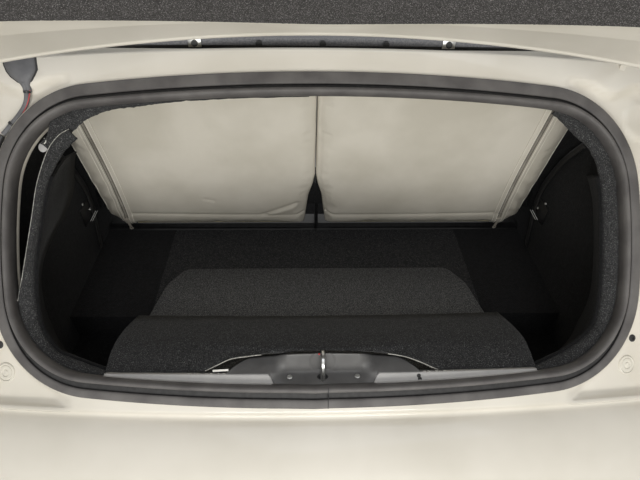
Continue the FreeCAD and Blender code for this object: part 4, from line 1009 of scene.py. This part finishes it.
FELT_LOWER = (
    (-20, 219.5), (-110, 217.5), (-187, 215), (-249, 211.5), (-281, 207.5), (-329, 203),
    (-365, 191), (-391, 172), (-411, 158), (-428, 142))
felt_lower = smooth_line(FELT_LOWER, 90)
felt_upper = [
    set_off(*place, TUCK - 17 * soft_step(404, 420, -place.x)) for place in felt_lower]
felt_rows = ((0, -3), (0.3, -5), (0.7, -9), (0.92, -12), (1, -15))
hanging = face_toward(ribbon(felt_upper, felt_lower, felt_rows, crowned, fuzz=1.3), OUTWARD)
felt_strip = piece("hanging_felt_upper_left", hanging, EDGE_FELT, auto_smooth=80)
thicken(felt_strip, 3)

# %% [markdown]
# A felt pad and a bent nylon clip held the loose edge. They are a turned button and a short rod.

# %% Clip and tab at the free end
TAB = ((0, 1.6), (6.5, 1.6), (7.6, 1.0), (8, 0))
piece("grey_felt_tab", gathered([
    (turned(TAB), facing(*off_sheet(-439, 148, -11)))]), TRIM)
hook = [(0, 0), (2.4, 1.6), (3.6, 4.2), (2.8, 6.8), (0.4, 8.0)]
piece("carpet_clip", strands([
    [crowned(-434 + across, 152 + along, -5) for across, along in hook]], 0.9), WHITE_PLASTIC)

# %% [markdown]
# Behind the sill the carpet folds over a bulge and is cut by hand round the cover, so its edge
# frays. The fold is a ribbon that rises to a crest and falls away into the tub; thin pale rods
# along the cut and across the trim are the loose fibres.

# %% Carpet behind the sill, cut round the cover
ROLL_LINE = (
    (-338, -204), (-250, -203.4), (-192, -201.5), (-179, -198), (-160, -189), (-141, -180.6),
    (-116, -176.6), (-88, -173.6), (0, -168), (88, -173.6), (116, -177.6), (133, -182),
    (155, -191), (174, -199.6), (190, -202), (250, -203.4), (338, -204))
near_line = smooth_line(ROLL_LINE, 150)
far_line = [Vector((place.x, -139)) for place in near_line]
CREST_V, CREST_RISE, WAVE_RISE = -164.5, 7, 2


def roll_surface(u, v, level):
    """The carpet rises from its cut edge to a soft crest beside the cover, then falls."""
    crest = math.exp(-((v - CREST_V) / 4) ** 2) * (1 - soft_step(165, 230, abs(u)))
    wave = WAVE_RISE * noise.noise(Vector((u / 40, v / 40, 0)))
    return crowned(u, v, level + CREST_RISE * crest + wave)


ROLL_DOWN = (
    (0, -12), (0.04, -11), (0.1, -14.5), (0.2, -20), (0.3, -26), (0.4, -33), (0.5, -41),
    (0.6, -52), (0.7, -68), (0.8, -90), (0.9, -120), (1, -160))
rolled = face_toward(ribbon(near_line, far_line, ROLL_DOWN, roll_surface, fuzz=1.0), OUTWARD)
rear_roll = piece("rear_carpet_roll", rolled, EDGE_FELT, auto_smooth=80)
thicken(rear_roll, 3)
cut_edges = [
    [crowned(*place, -9.4) for place in near_line if low < place.x < high]
    for low, high in ((-181, -90), (98, 177))]
piece("cut_carpet_fibres", strands(cut_edges, 0.75), PALE_FELT)
FRAYED_AT = (-205, -196, -190, -178, -171, -160, -153, 152, 159, 171, 184, 198, 214)
frays = [
    [crowned(u, shared_edge(u) + 1.5, -3), crowned(u + 4, shared_edge(u) + 0.6, -2)]
    for u in FRAYED_AT]
piece("frayed_carpet_ends", strands(frays, 0.6), PALE_FELT)
folded = facing(*off_sheet(-156, -196.6, -5)) @ Matrix.Rotation(0.12, 4, "Z")
piece("folded_liner_tab", gathered([(slab(24, 3.2, 0.8, 0.3), folded)]), WHITE_PLASTIC)

# %% [markdown]
# A dark webbing strap falls beside each seatback, flat against the side trim. It is a ribbon on
# an upright plane, with its edges let down so that its middle stands proud.

# %% Straps beside the seatbacks
STRAP_AT = 515
STRAP = ((150, 434), (186, 382), (213, 327), (231, 266), (226, 207), (212, 151), (205, 122))
STRAP_WIDE = Vector((-15, -4))
for side, sign in (("right", 1), ("left", -1)):
    strap_line = smooth_line(STRAP, 40)
    other_line = [place + STRAP_WIDE for place in strap_line]
    strap = ribbon(
        strap_line, other_line, ((0, 0), (0.2, 1.2), (0.8, 1.2), (1, 0)),
        lambda y, z, level, sign=sign: Vector((sign * (STRAP_AT - level), y, z)) * MM)
    face_toward(strap, Vector((-sign, 0, 0)))
    webbing = piece("belt_strap_" + side, strap, DARK_RUBBER)
    thicken(webbing, 1.5)

# %% [markdown]
# ## Seatbacks
#
# A seatback is foam in a sewn leather cover. It can be drawn as a plain block and then blown up
# a little by the cloth solver, which pulls the sides in between corners and crowns the faces
# as foam does. Seams, zips and stitches come after that, because the remesh would lose them.

# %% Sew and fill the seatbacks
LEAN = math.radians(15)
SEAT = Matrix.Translation((0, 0.255, 0.133)) @ Matrix.Rotation(math.pi / 2 + LEAN, 4, "X")
SEAT_BACK = SEAT.inverted()
PULL_IN, SWELL_CAP, FRAMES = 2.5, 7.0, 20


def fill(item):
    """Blow a closed cover up with the cloth solver and keep each point near its start."""
    start = [vert.co.copy() for vert in item.data.vertices]
    cloth = modifier(item, "CLOTH")
    cloth.settings.quality = 4
    cloth.settings.use_pressure = True
    cloth.settings.uniform_pressure_force = 4.0
    cloth.settings.tension_stiffness = 25
    cloth.settings.compression_stiffness = 25
    cloth.settings.bending_stiffness = 4
    cloth.settings.effector_weights.gravity = 0.0
    cloth.point_cache.frame_start = 1
    cloth.point_cache.frame_end = FRAMES
    scene = bpy.context.scene
    for step in range(1, FRAMES + 1):
        scene.frame_set(step)
    shaped = item.evaluated_get(bpy.context.evaluated_depsgraph_get())
    ends = [vert.co.copy() for vert in shaped.data.vertices]
    item.modifiers.remove(cloth)
    for vert, first, last in zip(item.data.vertices, start, ends):
        shift = last - first
        limit = SWELL_CAP * MM
        vert.co = first + shift * min(1.0, limit / max(shift.length, 1e-9))
    scene.frame_set(1)


def baked(item, kind, **settings):
    """Give a piece the mesh that one modifier makes of it."""
    extra = modifier(item, kind, **settings)
    shaped = item.evaluated_get(bpy.context.evaluated_depsgraph_get())
    data = bpy.data.meshes.new_from_object(shaped)
    item.modifiers.remove(extra)
    old = item.data
    item.data = data
    bpy.data.meshes.remove(old)


# %% [markdown]
# Sewing pulls the cover in along its seams, and it creases where the foam is slack. Each seam
# and crease is a soft dent: the points of the filled cover are moved in by a rule of their place
# in the seat's plane. The front has sewn flutes; the rear has a hem, folds and a few creases.

# %% Shape the covers
SEAM_X = -4.5
DRAWN_IN = 10
HEM_UP, ZIP_X = 54.5, 438.1
ZIP_SHIFT = -3.5
PRESSED_UP, GAP_SLOPE = 183, 0.145
CREASES = (
    (3.0, (-128, 57), (-48, 99), 5), (-2.0, (-112, 57), (-50, 84), 8),
    (1.8, (-256, 117), (-236, 110), 4))
FLUTES, FLUTE_ROWS, FLUTE_DEPTH = (110, 185, 260, 335, 410), (70, 400), 5


def half_gap(up):
    """Half the gap between the covers: pressed together above, open below."""
    return 1.0 + GAP_SLOPE * max(0.0, PRESSED_UP - up)


def solid_edge(up):
    """How far from the middle the CAD solid's inner side stands."""
    return 11 + 17 * max(0.0, 114 - up) / 114


def zip_line(side, up):
    """x of the zip on one cover: straight above, leaning out towards the hem."""
    away = ZIP_X + 0.00037 * max(0.0, 260 - up) ** 1.9
    return (away if side == "right" else -away) + ZIP_SHIFT


def crease(x, up, start, end, wide):
    """1 on a short crease line and 0 away from it."""
    start, end, spot = Vector(start), Vector(end), Vector((x, up))
    run = end - start
    along = max(0.0, min(1.0, (spot - start).dot(run) / run.length_squared))
    return math.exp(-((spot - start - run * along).length / wide) ** 2)


def rear_dents(side, x, up):
    """Depth of seams and creases pressed into the rear face."""
    away = abs(x)
    hem = HEM_UP + 5 * (away / 360) ** 2
    depth = 2.6 * math.exp(-((up - hem) / 3.4) ** 2) * (away < 440)
    depth -= 1.4 * (1 - soft_step(hem - 14, hem, up)) * soft_step(6, 20, up)
    folds = math.sin((up + 0.8 * (away - 450)) / 8.5) * soft_step(446, 462, away)
    depth += 1.9 * folds * soft_step(55, 85, up) * (1 - soft_step(170, 230, up))
    if side == "left":
        for deep, start, end, wide in CREASES:
            depth += deep * crease(x, up, start, end, wide)
    else:
        depth += 1.5 * math.exp(-((x - SEAM_X - half_gap(up) - 8) / 3) ** 2)
    return depth


def front_dents(x, up):
    """Depth of the sewn flutes in the face that a passenger leans on."""
    away = abs(x)
    flutes = max(math.exp(-((away - line) / 5) ** 2) for line in FLUTES)
    rows = max(math.exp(-((up - line) / 5) ** 2) for line in FLUTE_ROWS)
    inside = soft_step(60, 75, up) * (1 - soft_step(395, 410, up))
    return FLUTE_DEPTH * max(flutes * inside, rows * (60 < away < 450))


def shape_cover(item, side):
    """Close the gap to the other cover and press in the seams."""
    sign = 1 if side == "right" else -1
    for vert in item.data.vertices:
        x, up, out = (SEAT_BACK @ vert.co) / MM
        edge = SEAM_X + sign * half_gap(up)
        share = 1 - soft_step(0, 130, abs(x) - solid_edge(up))
        x += (edge - sign * (solid_edge(up) + DRAWN_IN)) * share
        x = max(x, edge) if sign > 0 else min(x, edge)
        if out > -14:
            out -= rear_dents(side, x, up)
        elif out < -45:
            out += front_dents(x, up)
        vert.co = SEAT @ (Vector((x, up, out)) * MM)


def seat_cover(side):
    """One seatback's cover: filled, refined and then shaped."""
    mesh = merged("seatback_" + side)
    middle = sum((vert.co for vert in mesh.verts), Vector()) / len(mesh.verts)
    box_low, box_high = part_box("seatback_" + side)
    size = box_high - box_low
    for vert in mesh.verts:
        for axis in range(3):
            share = 1 - 2 * PULL_IN * MM / size[axis]
            vert.co[axis] = middle[axis] + (vert.co[axis] - middle[axis]) * share
    item = piece(
        "seat_cover_" + side, mesh, LEATHER, "seatback_" + side + "_body",
        ("seatback_" + side,), 180)
    baked(item, "REMESH", mode="VOXEL", voxel_size=6 * MM)
    fill(item)
    baked(item, "SUBSURF", levels=1, render_levels=1)
    shape_cover(item, side)
    item.data.shade_smooth()
    return item


covers = {side: seat_cover(side) for side in ("right", "left")}
print("seat covers:", [len(item.data.polygons) for item in covers.values()], "faces")

# %% [markdown]
# ## Zips, welts and stitches
#
# Each cover closes with a coil zip under two stitched flaps, and ends in a slider with a pull.
# These pieces are drawn in the seat's own plane and dropped on to the finished cover by a ray,
# so they follow its swell. They ride with the seatback.

# %% Drop points on to the covers
SEAT_TURN = SEAT.to_3x3()
INTO_SEAT = SEAT_TURN @ Vector((0, 0, -1))
graph = bpy.context.evaluated_depsgraph_get()
REAR = {side: BVHTree.FromObject(item, graph) for side, item in covers.items()}


def on_cover(side, x, up, proud=0.0):
    """Place on a cover's rear face, given across and up in its plane."""
    start = SEAT @ (Vector((x, up, 120)) * MM)
    hit = REAR[side].ray_cast(start, INTO_SEAT)[0]
    if hit is None:
        hit = SEAT @ (Vector((x, up, 0)) * MM)
    return hit - INTO_SEAT * proud * MM


# %% Zips
FLAP_ROWS = ((0, 0.3), (0.02, 2.4), (0.2, 3.0), (0.55, 2.0), (0.8, 1.7), (0.93, 0.9), (1, 0.1))
STITCH_ROWS = ((6.8, 2.7), (14.6, 1.5))
SLIDER = moulded("lacquered_zip_slider", "ABA396", "C2BBAF", 0.35)
FLAP_NEAR, FLAP_FAR, TAPE_HALF = 4.2, 15.5, 4.6
TOOTH_PITCH, TOOTH_HALF, STITCH_PITCH, STITCH_LONG = 3, 2.4, 6, 4.8
SLIDER_UP, PULL_UP, PULL_PROUD = 40, 24, 5.5


def seat_piece(name, mesh, made, side):
    """A piece that rides with one seatback."""
    return piece(name + "_" + side, mesh, made, "seatback_" + side + "_body")


def sew_zip(side):
    """Tape, coil, two stitched flaps, slider and pull on one cover."""
    ups = [14 + 5.6 * step for step in range(82)]
    middle = [Vector((zip_line(side, up), up)) for up in ups]

    def surface(x, up, level):
        return on_cover(side, x, up, level)

    for name, sign in (("zip_flap_inner", 1), ("zip_flap_outer", -1)):
        near = [place + Vector((FLAP_NEAR * sign, 0)) for place in middle]
        far = [place + Vector((FLAP_FAR * sign, 0)) for place in middle]
        flap = face_toward(ribbon(near, far, FLAP_ROWS, surface), -INTO_SEAT)
        seat_piece(name, flap, LEATHER, side)
    left_edge = [place - Vector((TAPE_HALF, 0)) for place in middle]
    right_edge = [place + Vector((TAPE_HALF, 0)) for place in middle]
    tape = ribbon(left_edge, right_edge, ((0, 0.4), (0.5, 0.4), (1, 0.4)), surface)
    seat_piece("zip_tape", face_toward(tape, -INTO_SEAT), TAPE, side)
    teeth, stitches = [], []
    for step in range(146):
        up = 44 + TOOTH_PITCH * step
        x = zip_line(side, up)
        teeth.append([
            on_cover(side, x - TOOTH_HALF, up, 1.0), on_cover(side, x + TOOTH_HALF, up, 1.0)])
    for step in range(76):
        up = 18 + STITCH_PITCH * step
        x = zip_line(side, up)
        for away, proud in STITCH_ROWS:
            for sign in (1, -1):
                stitches.append([
                    on_cover(side, x + sign * away, up, proud),
                    on_cover(side, x + sign * away, up + STITCH_LONG, proud)])
    seat_piece("zip_coil", strands(teeth, 0.85), COIL, side)
    seat_piece("zip_stitches", strands(stitches, 0.8), THREAD, side)
    upright = SEAT_TURN.to_4x4()
    x = zip_line(side, SLIDER_UP)
    pull = on_cover(side, x, PULL_UP, PULL_PROUD)
    body = Matrix.Translation(on_cover(side, x, SLIDER_UP, 3.0)) @ upright
    tab = Matrix.Translation(pull) @ upright
    slider = gathered([(slab(9.5, 15, 5, 1.6), body), (slab(6.5, 26, 1.8, 0.8), tab)])
    seat_piece("zip_slider", slider, SLIDER, side)
    centre = pull + SEAT_TURN @ Vector((0, -16 * MM, 0))
    turns = [math.tau * step / 10 for step in range(10)]
    ring = [
        centre + SEAT_TURN @ Vector((3.6 * math.cos(turn), 4.2 * math.sin(turn), 0)) * MM
        for turn in turns]
    seat_piece("zip_pull_ring", strands([ring], 1.3, looped=True), SLIDER, side)


for side in covers:
    sew_zip(side)

# %% [markdown]
# A welt is a cord sewn into the seam at the cover's edge. It is a rod whose places are found by
# rays that meet the cover from below and from the side. Below, a dark felt sheet behind the gap
# between the two seatbacks is painted shade, for the dark between them; each seat carries its own
# half.

# %% Welts along the edges, and the painted shade sheet between the covers


def touch(side, start, toward, proud=0.0):
    """Where a ray in the seat's frame meets a cover from outside."""
    toward = SEAT_TURN @ Vector(toward)
    hit = REAR[side].ray_cast(SEAT @ (Vector(start) * MM), toward)[0]
    return None if hit is None else hit - toward * proud * MM


def found(places):
    """The places where a ray met the cover."""
    return [place for place in places if place is not None]


for side, sign in (("right", 1), ("left", -1)):
    bottom = found([
        touch(side, (sign * (40 + 19 * step), -80, -9), (0, 1, 0), 1.0)
        for step in range(22)])
    outer = found([
        touch(side, (sign * 600, 60 + 20 * step, -9), (-sign, 0, 0), 0.4)
        for step in range(20)])
    seat_piece("bottom_welt", strands([bottom], 3.0), WELT, side)
    seat_piece("outer_welt", strands([outer], 1.3), THREAD, side)
    ups = [56 + 11 * step for step in range(13)]
    near = [Vector((SEAM_X + sign * 0.15, up)) for up in ups]
    far = [Vector((SEAM_X + sign * (half_gap(up) + 14), up)) for up in ups]
    flap = ribbon(near, far, ((0, 0), (1, 0)), lambda x, up, level: SEAT @ (
        Vector((x, up, -27 + level)) * MM))
    # Painted shade: a dark felt sheet behind the gap between the covers.
    seat_piece("painted_gap_shade", face_toward(flap, -INTO_SEAT), SHADED_FELT, side)

# %% [markdown]
# ## Fittings beside and between the seats
#
# Under the seats' outer corners sit dark anchor plates with bright rivets and a spring, and a
# bolt closes the bracket between the seats. Only glints of them show in the dark, but they are
# what tells the eye that the dark is deep.

# %% Anchor plates, spring legs and the middle bolt
RIVET = ((0, 1.8), (1.8, 1.7), (3.0, 1.1), (3.4, 0))
BOLT_HEAD = (
    (0, 1.2), (1.9, 1.2), (2.3, 3.2), (4.6, 3.4), (5.2, 2.6), (5.4, 0.8), (7.2, 0.6), (7.2, 0))
for side, sign in (("right", 1), ("left", -1)):
    inward = Vector((-sign, 0, 0))
    plate = facing(Vector((sign * 518.5, 204, 226)) * MM, inward)
    anchor = piece("belt_anchor_" + side, gathered([(slab(66, 44, 3, 1), plate)]), BLACK_STEEL)
    rivets = [
        (turned(RIVET, 16), facing(Vector((sign * 517, y, z)) * MM, inward))
        for y, z in ((190, 252), (212, 222))]
    piece("anchor_rivets_" + side, gathered(rivets), ZINC)
    legs = [
        [Vector((sign * 513, y, z)) * MM, Vector((sign * 505, y + 22, z + 12)) * MM]
        for y, z in ((196, 200), (188, 206))]
    piece("anchor_spring_" + side, strands(legs, 0.8), ZINC)
behind_seats = Matrix.Translation(Vector((0, 390, 103.4)) * MM)
piece("rear_floor_felt", gathered([(slab(1000, 104, 2, 0.6), behind_seats)]), SHADED_FELT)
bolt = turned(BOLT_HEAD)
toward_rear = facing(Vector((-4.5, 269.5, 226)) * MM, Vector((0, -1, 0)))
piece("middle_bracket_bolt", gathered([(bolt, toward_rear)]), BLACK_STEEL)

# %% [markdown]
# ## Boot lid
#
# The open lid shows its inner pressing and a felt lining. Pressings are never plain: the border
# has a fold line and a hemmed edge that is bowed, and the lining is cut straighter than the
# sheet. The CAD shells are copied with their front edges bowed, and a thin skin with the fold
# and the hem is lofted over the border.

# %% The lid's own frame
LID_ORIGIN = Vector((0, 0.0188, 0.679))
LID_OUT = Vector((0, -0.7317, -0.6816))
LID_DOWN = Vector((0, 0.6816, -0.7317))
FRONT_EDGE, LINING_BACK, LID_RISE = 22.8, -84, 3.1


def lid_crown(x):
    """Level of the lid's crowned face at a distance from its middle line."""
    return CROWN - math.sqrt(CROWN ** 2 - x * x) - LID_RISE


def lid_face(x, down, level=0.0):
    """World place on the lid's inner face: across, towards its front edge, and off the face."""
    return LID_ORIGIN + Vector((x * MM, 0, 0)) + (
        LID_DOWN * down + LID_OUT * (lid_crown(x) + level)) * MM


def in_lid(place):
    """A world place as across, down and level, in mm."""
    spot = (place - LID_ORIGIN) / MM
    return spot.x, spot.dot(LID_DOWN), spot.dot(LID_OUT) - lid_crown(spot.x)


def bow(x):
    """How far the front edge is drawn back, most in the middle."""
    return (8 * (x / 420) ** 2 - 16) * (1 - soft_step(455, 505, abs(x)))


def lining_cut(x):
    """Where the felt lining ends, which looks straight in the photograph."""
    return -26 - 50 * (abs(x) / 372) ** 1.6


# %% [markdown]
# Both shells are the CAD solids with each point slid along the lid by the bow. The lining's back
# part is the CAD solid cut short, and its front part is a ribbon whose edge is cut straight and
# a little rough, which a moved edge of the solid couldn't give.

# %% Bow the lid's shells and cut the lining
for name, source in (("lid_inner_pressing", "lid_inner"), ("lid_outer_skin", "lid_panel")):
    mesh = merged(source)
    for vert in mesh.verts:
        x, down, level = in_lid(vert.co)
        if down > -14 and abs(x) < 470:
            level = min(level, 0.0)
        vert.co = lid_face(x, down + bow(x) * soft_step(-70, 10, down), level)
    piece(name, mesh, PAINT, "lid", (source,), 35)

lining = merged("lid_lining")
for vert in lining.verts:
    x, down, level = in_lid(vert.co)
    vert.co = lid_face(x, min(down, LINING_BACK), level)
piece("lid_felt", lining, LID_FELT, "lid", ("lid_lining",), 35)
STATIONS, LINING_HALF = 301, 415
stations = [across(step, STATIONS, LINING_HALF) for step in range(STATIONS)]
cut_line = [
    Vector((x, lining_cut(x) + 0.9 * noise.noise(Vector((x / 3, 0, 0))))) for x in stations]
back_line = [Vector((x, LINING_BACK - 8)) for x in stations]
LIP_ROWS = ((0, 4.9), (0.06, 5.3), (0.5, 5.4), (0.9, 5.3), (0.98, 4.4), (1, 0))
felt_front = face_toward(ribbon(back_line, cut_line, LIP_ROWS, lid_face), LID_OUT)
piece("lid_felt_front", felt_front, LID_FELT, "lid", auto_smooth=60)

# %% [markdown]
# The border's fold and hem are only 1 to 3 mm high, yet they draw the lid's whole edge. Each is
# given by rows of a loft that keep their distance from the lining, the fold or the hem line.

# %% Skin with the fold and the hem
BORDER_COLUMNS, BORDER_HALF = 121, 462


def border_spot(column, row):
    """Place on the border skin; a row is an anchor line, a shift from it and a level."""
    x = across(column, BORDER_COLUMNS, BORDER_HALF)
    lining_end, hem = lining_cut(x), FRONT_EDGE + bow(x)
    fold = max(-31 - 16 * (x / 400) ** 2, lining_end + 4)
    anchor, shift, level = row
    return lid_face(x, {"lining": lining_end, "fold": fold, "hem": hem}[anchor] + shift, level)


BORDER = (
    ("lining", -12, 1.6), ("lining", 0, 1.9), ("fold", -1.5, 2.6), ("fold", 0, 2.7),
    ("fold", 1.5, 2.4), ("hem", -9, 0.9), ("hem", -5, 0.8), ("hem", -4.3, 1.4),
    ("hem", -3, 2.0), ("hem", -1.2, 2.1), ("hem", 0.4, 1.6), ("hem", 1.2, 0.4), ("hem", 1.2, -5))
border = face_toward(loft(BORDER_COLUMNS, BORDER, border_spot), LID_OUT)
piece("lid_border_skin", border, PAINT, "lid", auto_smooth=60)

# %% [markdown]
# ## Hood rail fittings, wiring grommet and cable
#
# The rail behind the deck is held by two bright brackets. At the left a fan-shaped rubber
# grommet closes the hole where the lid's wiring comes out, and a sleeved cable runs from its
# neck down the gutter to a connector, with one red wire outside the sleeve.

# %% Rail and its brackets
RAIL_LOW = 636.5
rail = merged("hood_rail")
for vert in rail.verts:
    vert.co.z = max(vert.co.z, RAIL_LOW * MM)
piece("hood_rail_pressing", rail, RAW_STEEL, replaces=("hood_rail",))
# Painted shadow: a thin black strip under the rail stands for the shadow in the gap between the
# rail and the deck.
gap = facing(Vector((0, 96, 633)) * MM, Vector((0, -1, 0)))
piece("rail_gap_painted_shadow", gathered([(slab(940, 7, 2, 0.5), gap)]), BLACK_PLASTIC)
plates = [
    (slab(20, 13, 1.4, 0.4), facing(Vector((x, 91.2, 640)) * MM, Vector((0, -1, 0))))
    for x in (-195, 197)]
piece("hood_rail_plates", gathered(plates), ZINC)

# %% [markdown]
# The grommet is a flat fan that narrows to a round neck. Its rows are half rings, wide and low at
# the fan's end and small and round at the neck, and the same rows grown a little are its flange.

# %% Grommet
FAN_COLUMNS = 17
FAN = (
    (287, -473, 27, 6), (276, -471, 26.5, 8), (266, -468, 25, 9), (257, -466.5, 19, 9),
    (250, -464, 12, 8.5), (244, -462.5, 8, 8), (239, -461.5, 6.8, 7.5), (233, -461, 6.6, 6.6))


def fan_rows(grow, low):
    """Rows of a fan: along, middle, half width and height, grown for its flange."""
    return [(v, middle, half + grow, tall * low) for v, middle, half, tall in FAN]


def fan_spot(column, row):
    """Place on a half ring of the fan, standing on the sheet or the gutter's floor."""
    v, middle, half, tall = row
    turn = math.pi * column / (FAN_COLUMNS - 1)
    base = -7 * soft_step(-252, -233, -v)
    return crowned(
        middle + half * math.cos(turn), v, base + tall * math.sin(turn) ** 0.8 + 0.2)


dome = face_toward(loft(FAN_COLUMNS, fan_rows(0, 1), fan_spot), OUTWARD)
piece(
    "wiring_grommet", dome, SLEEVE, replaces=("harness_boot",),
    auto_smooth=50)
rim = face_toward(loft(FAN_COLUMNS, fan_rows(2.6, 0.24)[:6], fan_spot), OUTWARD)
piece("wiring_grommet_rim", rim, DARK_RUBBER)

# %% [markdown]
# A cable is a curve with a round bevel, running from the grommet to its connector. The red wire
# and the rings near its ends are pieces of their own beside it.

# %% Cable, red wire and rings
CABLE = (
    (-463, 246, 4), (-461, 234, -3), (-466, 217, -9), (-478, 201, -10), (-492, 186, -9.5),
    (-506, 170, -8))
CABLE_THICK, CABLE_LONG = 8, 96
cable_data = bpy.data.curves.new("harness_cable_sleeved", "CURVE")
cable_data.dimensions = "3D"
cable_data.bevel_depth = CABLE_THICK / 2 * MM
cable_data.bevel_resolution = 4
cable_data.use_fill_caps = True
spline = cable_data.splines.new("NURBS")
spline.points.add(len(CABLE) - 1)
route = [crowned(*place) for place in CABLE]
for point, place in zip(spline.points, route):
    point.co = (*place, 1)
spline.order_u = 3
spline.use_endpoint_u = True
spline.resolution_u = 12
cable_data.materials.append(SLEEVE)
cable = bpy.data.objects.new("harness_cable_sleeved", cable_data)
bpy.context.scene.collection.objects.link(cable)
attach(cable, "car_body")
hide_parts("harness_cable")
red_line = [crowned(u + 5.2, v + 1.5, level + 1) for u, v, level in CABLE[1:4]]
red_wire = piece("red_wire", strands([red_line], 0.9), RED_PLASTIC)
RING = ((4.2, -2.2), (5.8, -1.6), (5.8, 1.6), (4.2, 2.2), (4.2, -2.2))
rings = [
    (turned(RING), facing(route[index], route[index + 1] - route[index - 1])) for index in (1, 4)]
cable_rings = piece("cable_rings", gathered(rings), BLACK_PLASTIC)
route_length = sum((end - start).length for start, end in zip(route, route[1:]))
print("cable runs add up to", round(route_length, 4), "m")
tuple(route[0])

# %% [markdown]
# ## Plugs and fasteners in the lower corners
#
# Pale plugs close the assembly holes in the gutters. Each is a turned form with low rings.

# %% Turn the plugs
PLUG = (
    (0, 2.2), (3.4, 2.0), (4.4, 1.0), (6.0, 1.0), (7.0, 2.2), (10.6, 2.0), (11.4, 0.9),
    (12.8, 0.9), (13.8, 2.2), (15.2, 1.6), (15.8, 0))
FASTENER = ((0, 0.6), (2.2, 0.6), (2.6, 1.8), (5.0, 1.9), (6.0, 1.2), (6.2, 0))
PLUG_SPOT, FASTENER_SPOT = (507.5, -210.3), (519, -166.5)


def in_gutter(form, sign, spot):
    """A turned form with the matrix that stands it on the pressed sheet."""
    u, v = spot
    return form, facing(*off_sheet(sign * u, v, press_height(u, v)))


for side, sign in (("right", 1), ("left", -1)):
    piece(
        "gutter_plug_" + side, gathered([in_gutter(turned(PLUG, 36), sign, PLUG_SPOT)]),
        CAP_PLASTIC, replaces=("corner_plug_" + side,))
    piece(
        "gutter_fastener_" + side, gathered([in_gutter(turned(FASTENER), sign, FASTENER_SPOT)]),
        DARK_RUBBER)

# %% [markdown]
# ## Floor, light and air
#
# The object stands on a plain pale floor. Four soft lamps stand in for the room: a cool one in
# the ceiling, a broad one low behind the car, and two smaller ones that fill the tub and light the
# sill from below. Those two make no highlights, which would show as squares on the clear coat.
# The world adds a little light from all round, and looks pale where the camera sees it.

# %% Floor
floor = bmesh.new()
bmesh.ops.create_grid(floor, x_segments=1, y_segments=1, size=6)
floor_data = bpy.data.meshes.new("floor")
floor.to_mesh(floor_data)
floor.free()
floor_item = bpy.data.objects.new("floor", floor_data)
bpy.context.scene.collection.objects.link(floor_item)
FLOOR = finish("pale_floor", Roughness=0.9, Base_Color=linear("D8D8D6"))[0]
floor_data.materials.append(FLOOR)

# %% Lamps and world


def lamp(name, place, target, size, power, tint, shines=True):
    """A square soft lamp that faces its target; one that doesn't shine makes no highlights."""
    data = bpy.data.lights.new(name, "AREA")
    data.shape = "SQUARE"
    data.size = size
    data.energy = power
    data.color = linear(tint)[:3]
    item = bpy.data.objects.new(name, data)
    item.location = place
    toward = Vector(target) - Vector(place)
    item.rotation_euler = toward.to_track_quat("-Z", "Y").to_euler()
    item.visible_camera = False
    item.visible_glossy = shines
    bpy.context.scene.collection.objects.link(item)


lamp("ceiling_lamp", (0.3, -0.7, 3.2), (0, 0, 0.4), 2.6, 21, "F2F6FF")
lamp("rear_lamp", (0.0, -3.1, 0.1), (0, 0, 0.5), 2.2, 92, "FFFEFA")
lamp("room_fill", (0.0, -1.8, 1.9), (0, 0.1, 0.3), 0.9, 13, "FFFFFF", False)
lamp("floor_bounce", (0.0, -1.5, 0.06), (0, -0.2, 0.9), 1.4, 11, "FFFDF6", False)

world = bpy.data.worlds.new("room")
bpy.context.scene.world = world
world.use_nodes = True
tree = world.node_tree
tree.nodes.clear()
air = add(tree, "Background", {"Color": linear("EDEDEB"), "Strength": 0.25})
white = add(tree, "Background", {"Color": linear("F4F4F2"), "Strength": 1.0})
rays = add(tree, "LightPath").outputs
seen = add(
    tree, "Math", {0: rays["Is Camera Ray"], 1: rays["Is Glossy Ray"]}, operation="MAXIMUM")
seen = add(
    tree, "Math", {0: seen.outputs[0], 1: rays["Is Transmission Ray"]}, operation="MAXIMUM")
mixed = add(tree, "MixShader")
tree.links.new(seen.outputs[0], mixed.inputs[0])
tree.links.new(air.outputs[0], mixed.inputs[1])
tree.links.new(white.outputs[0], mixed.inputs[2])
tree.links.new(mixed.outputs[0], add(tree, "OutputWorld").inputs["Surface"])
bpy.context.scene.view_settings.view_transform = "Standard"
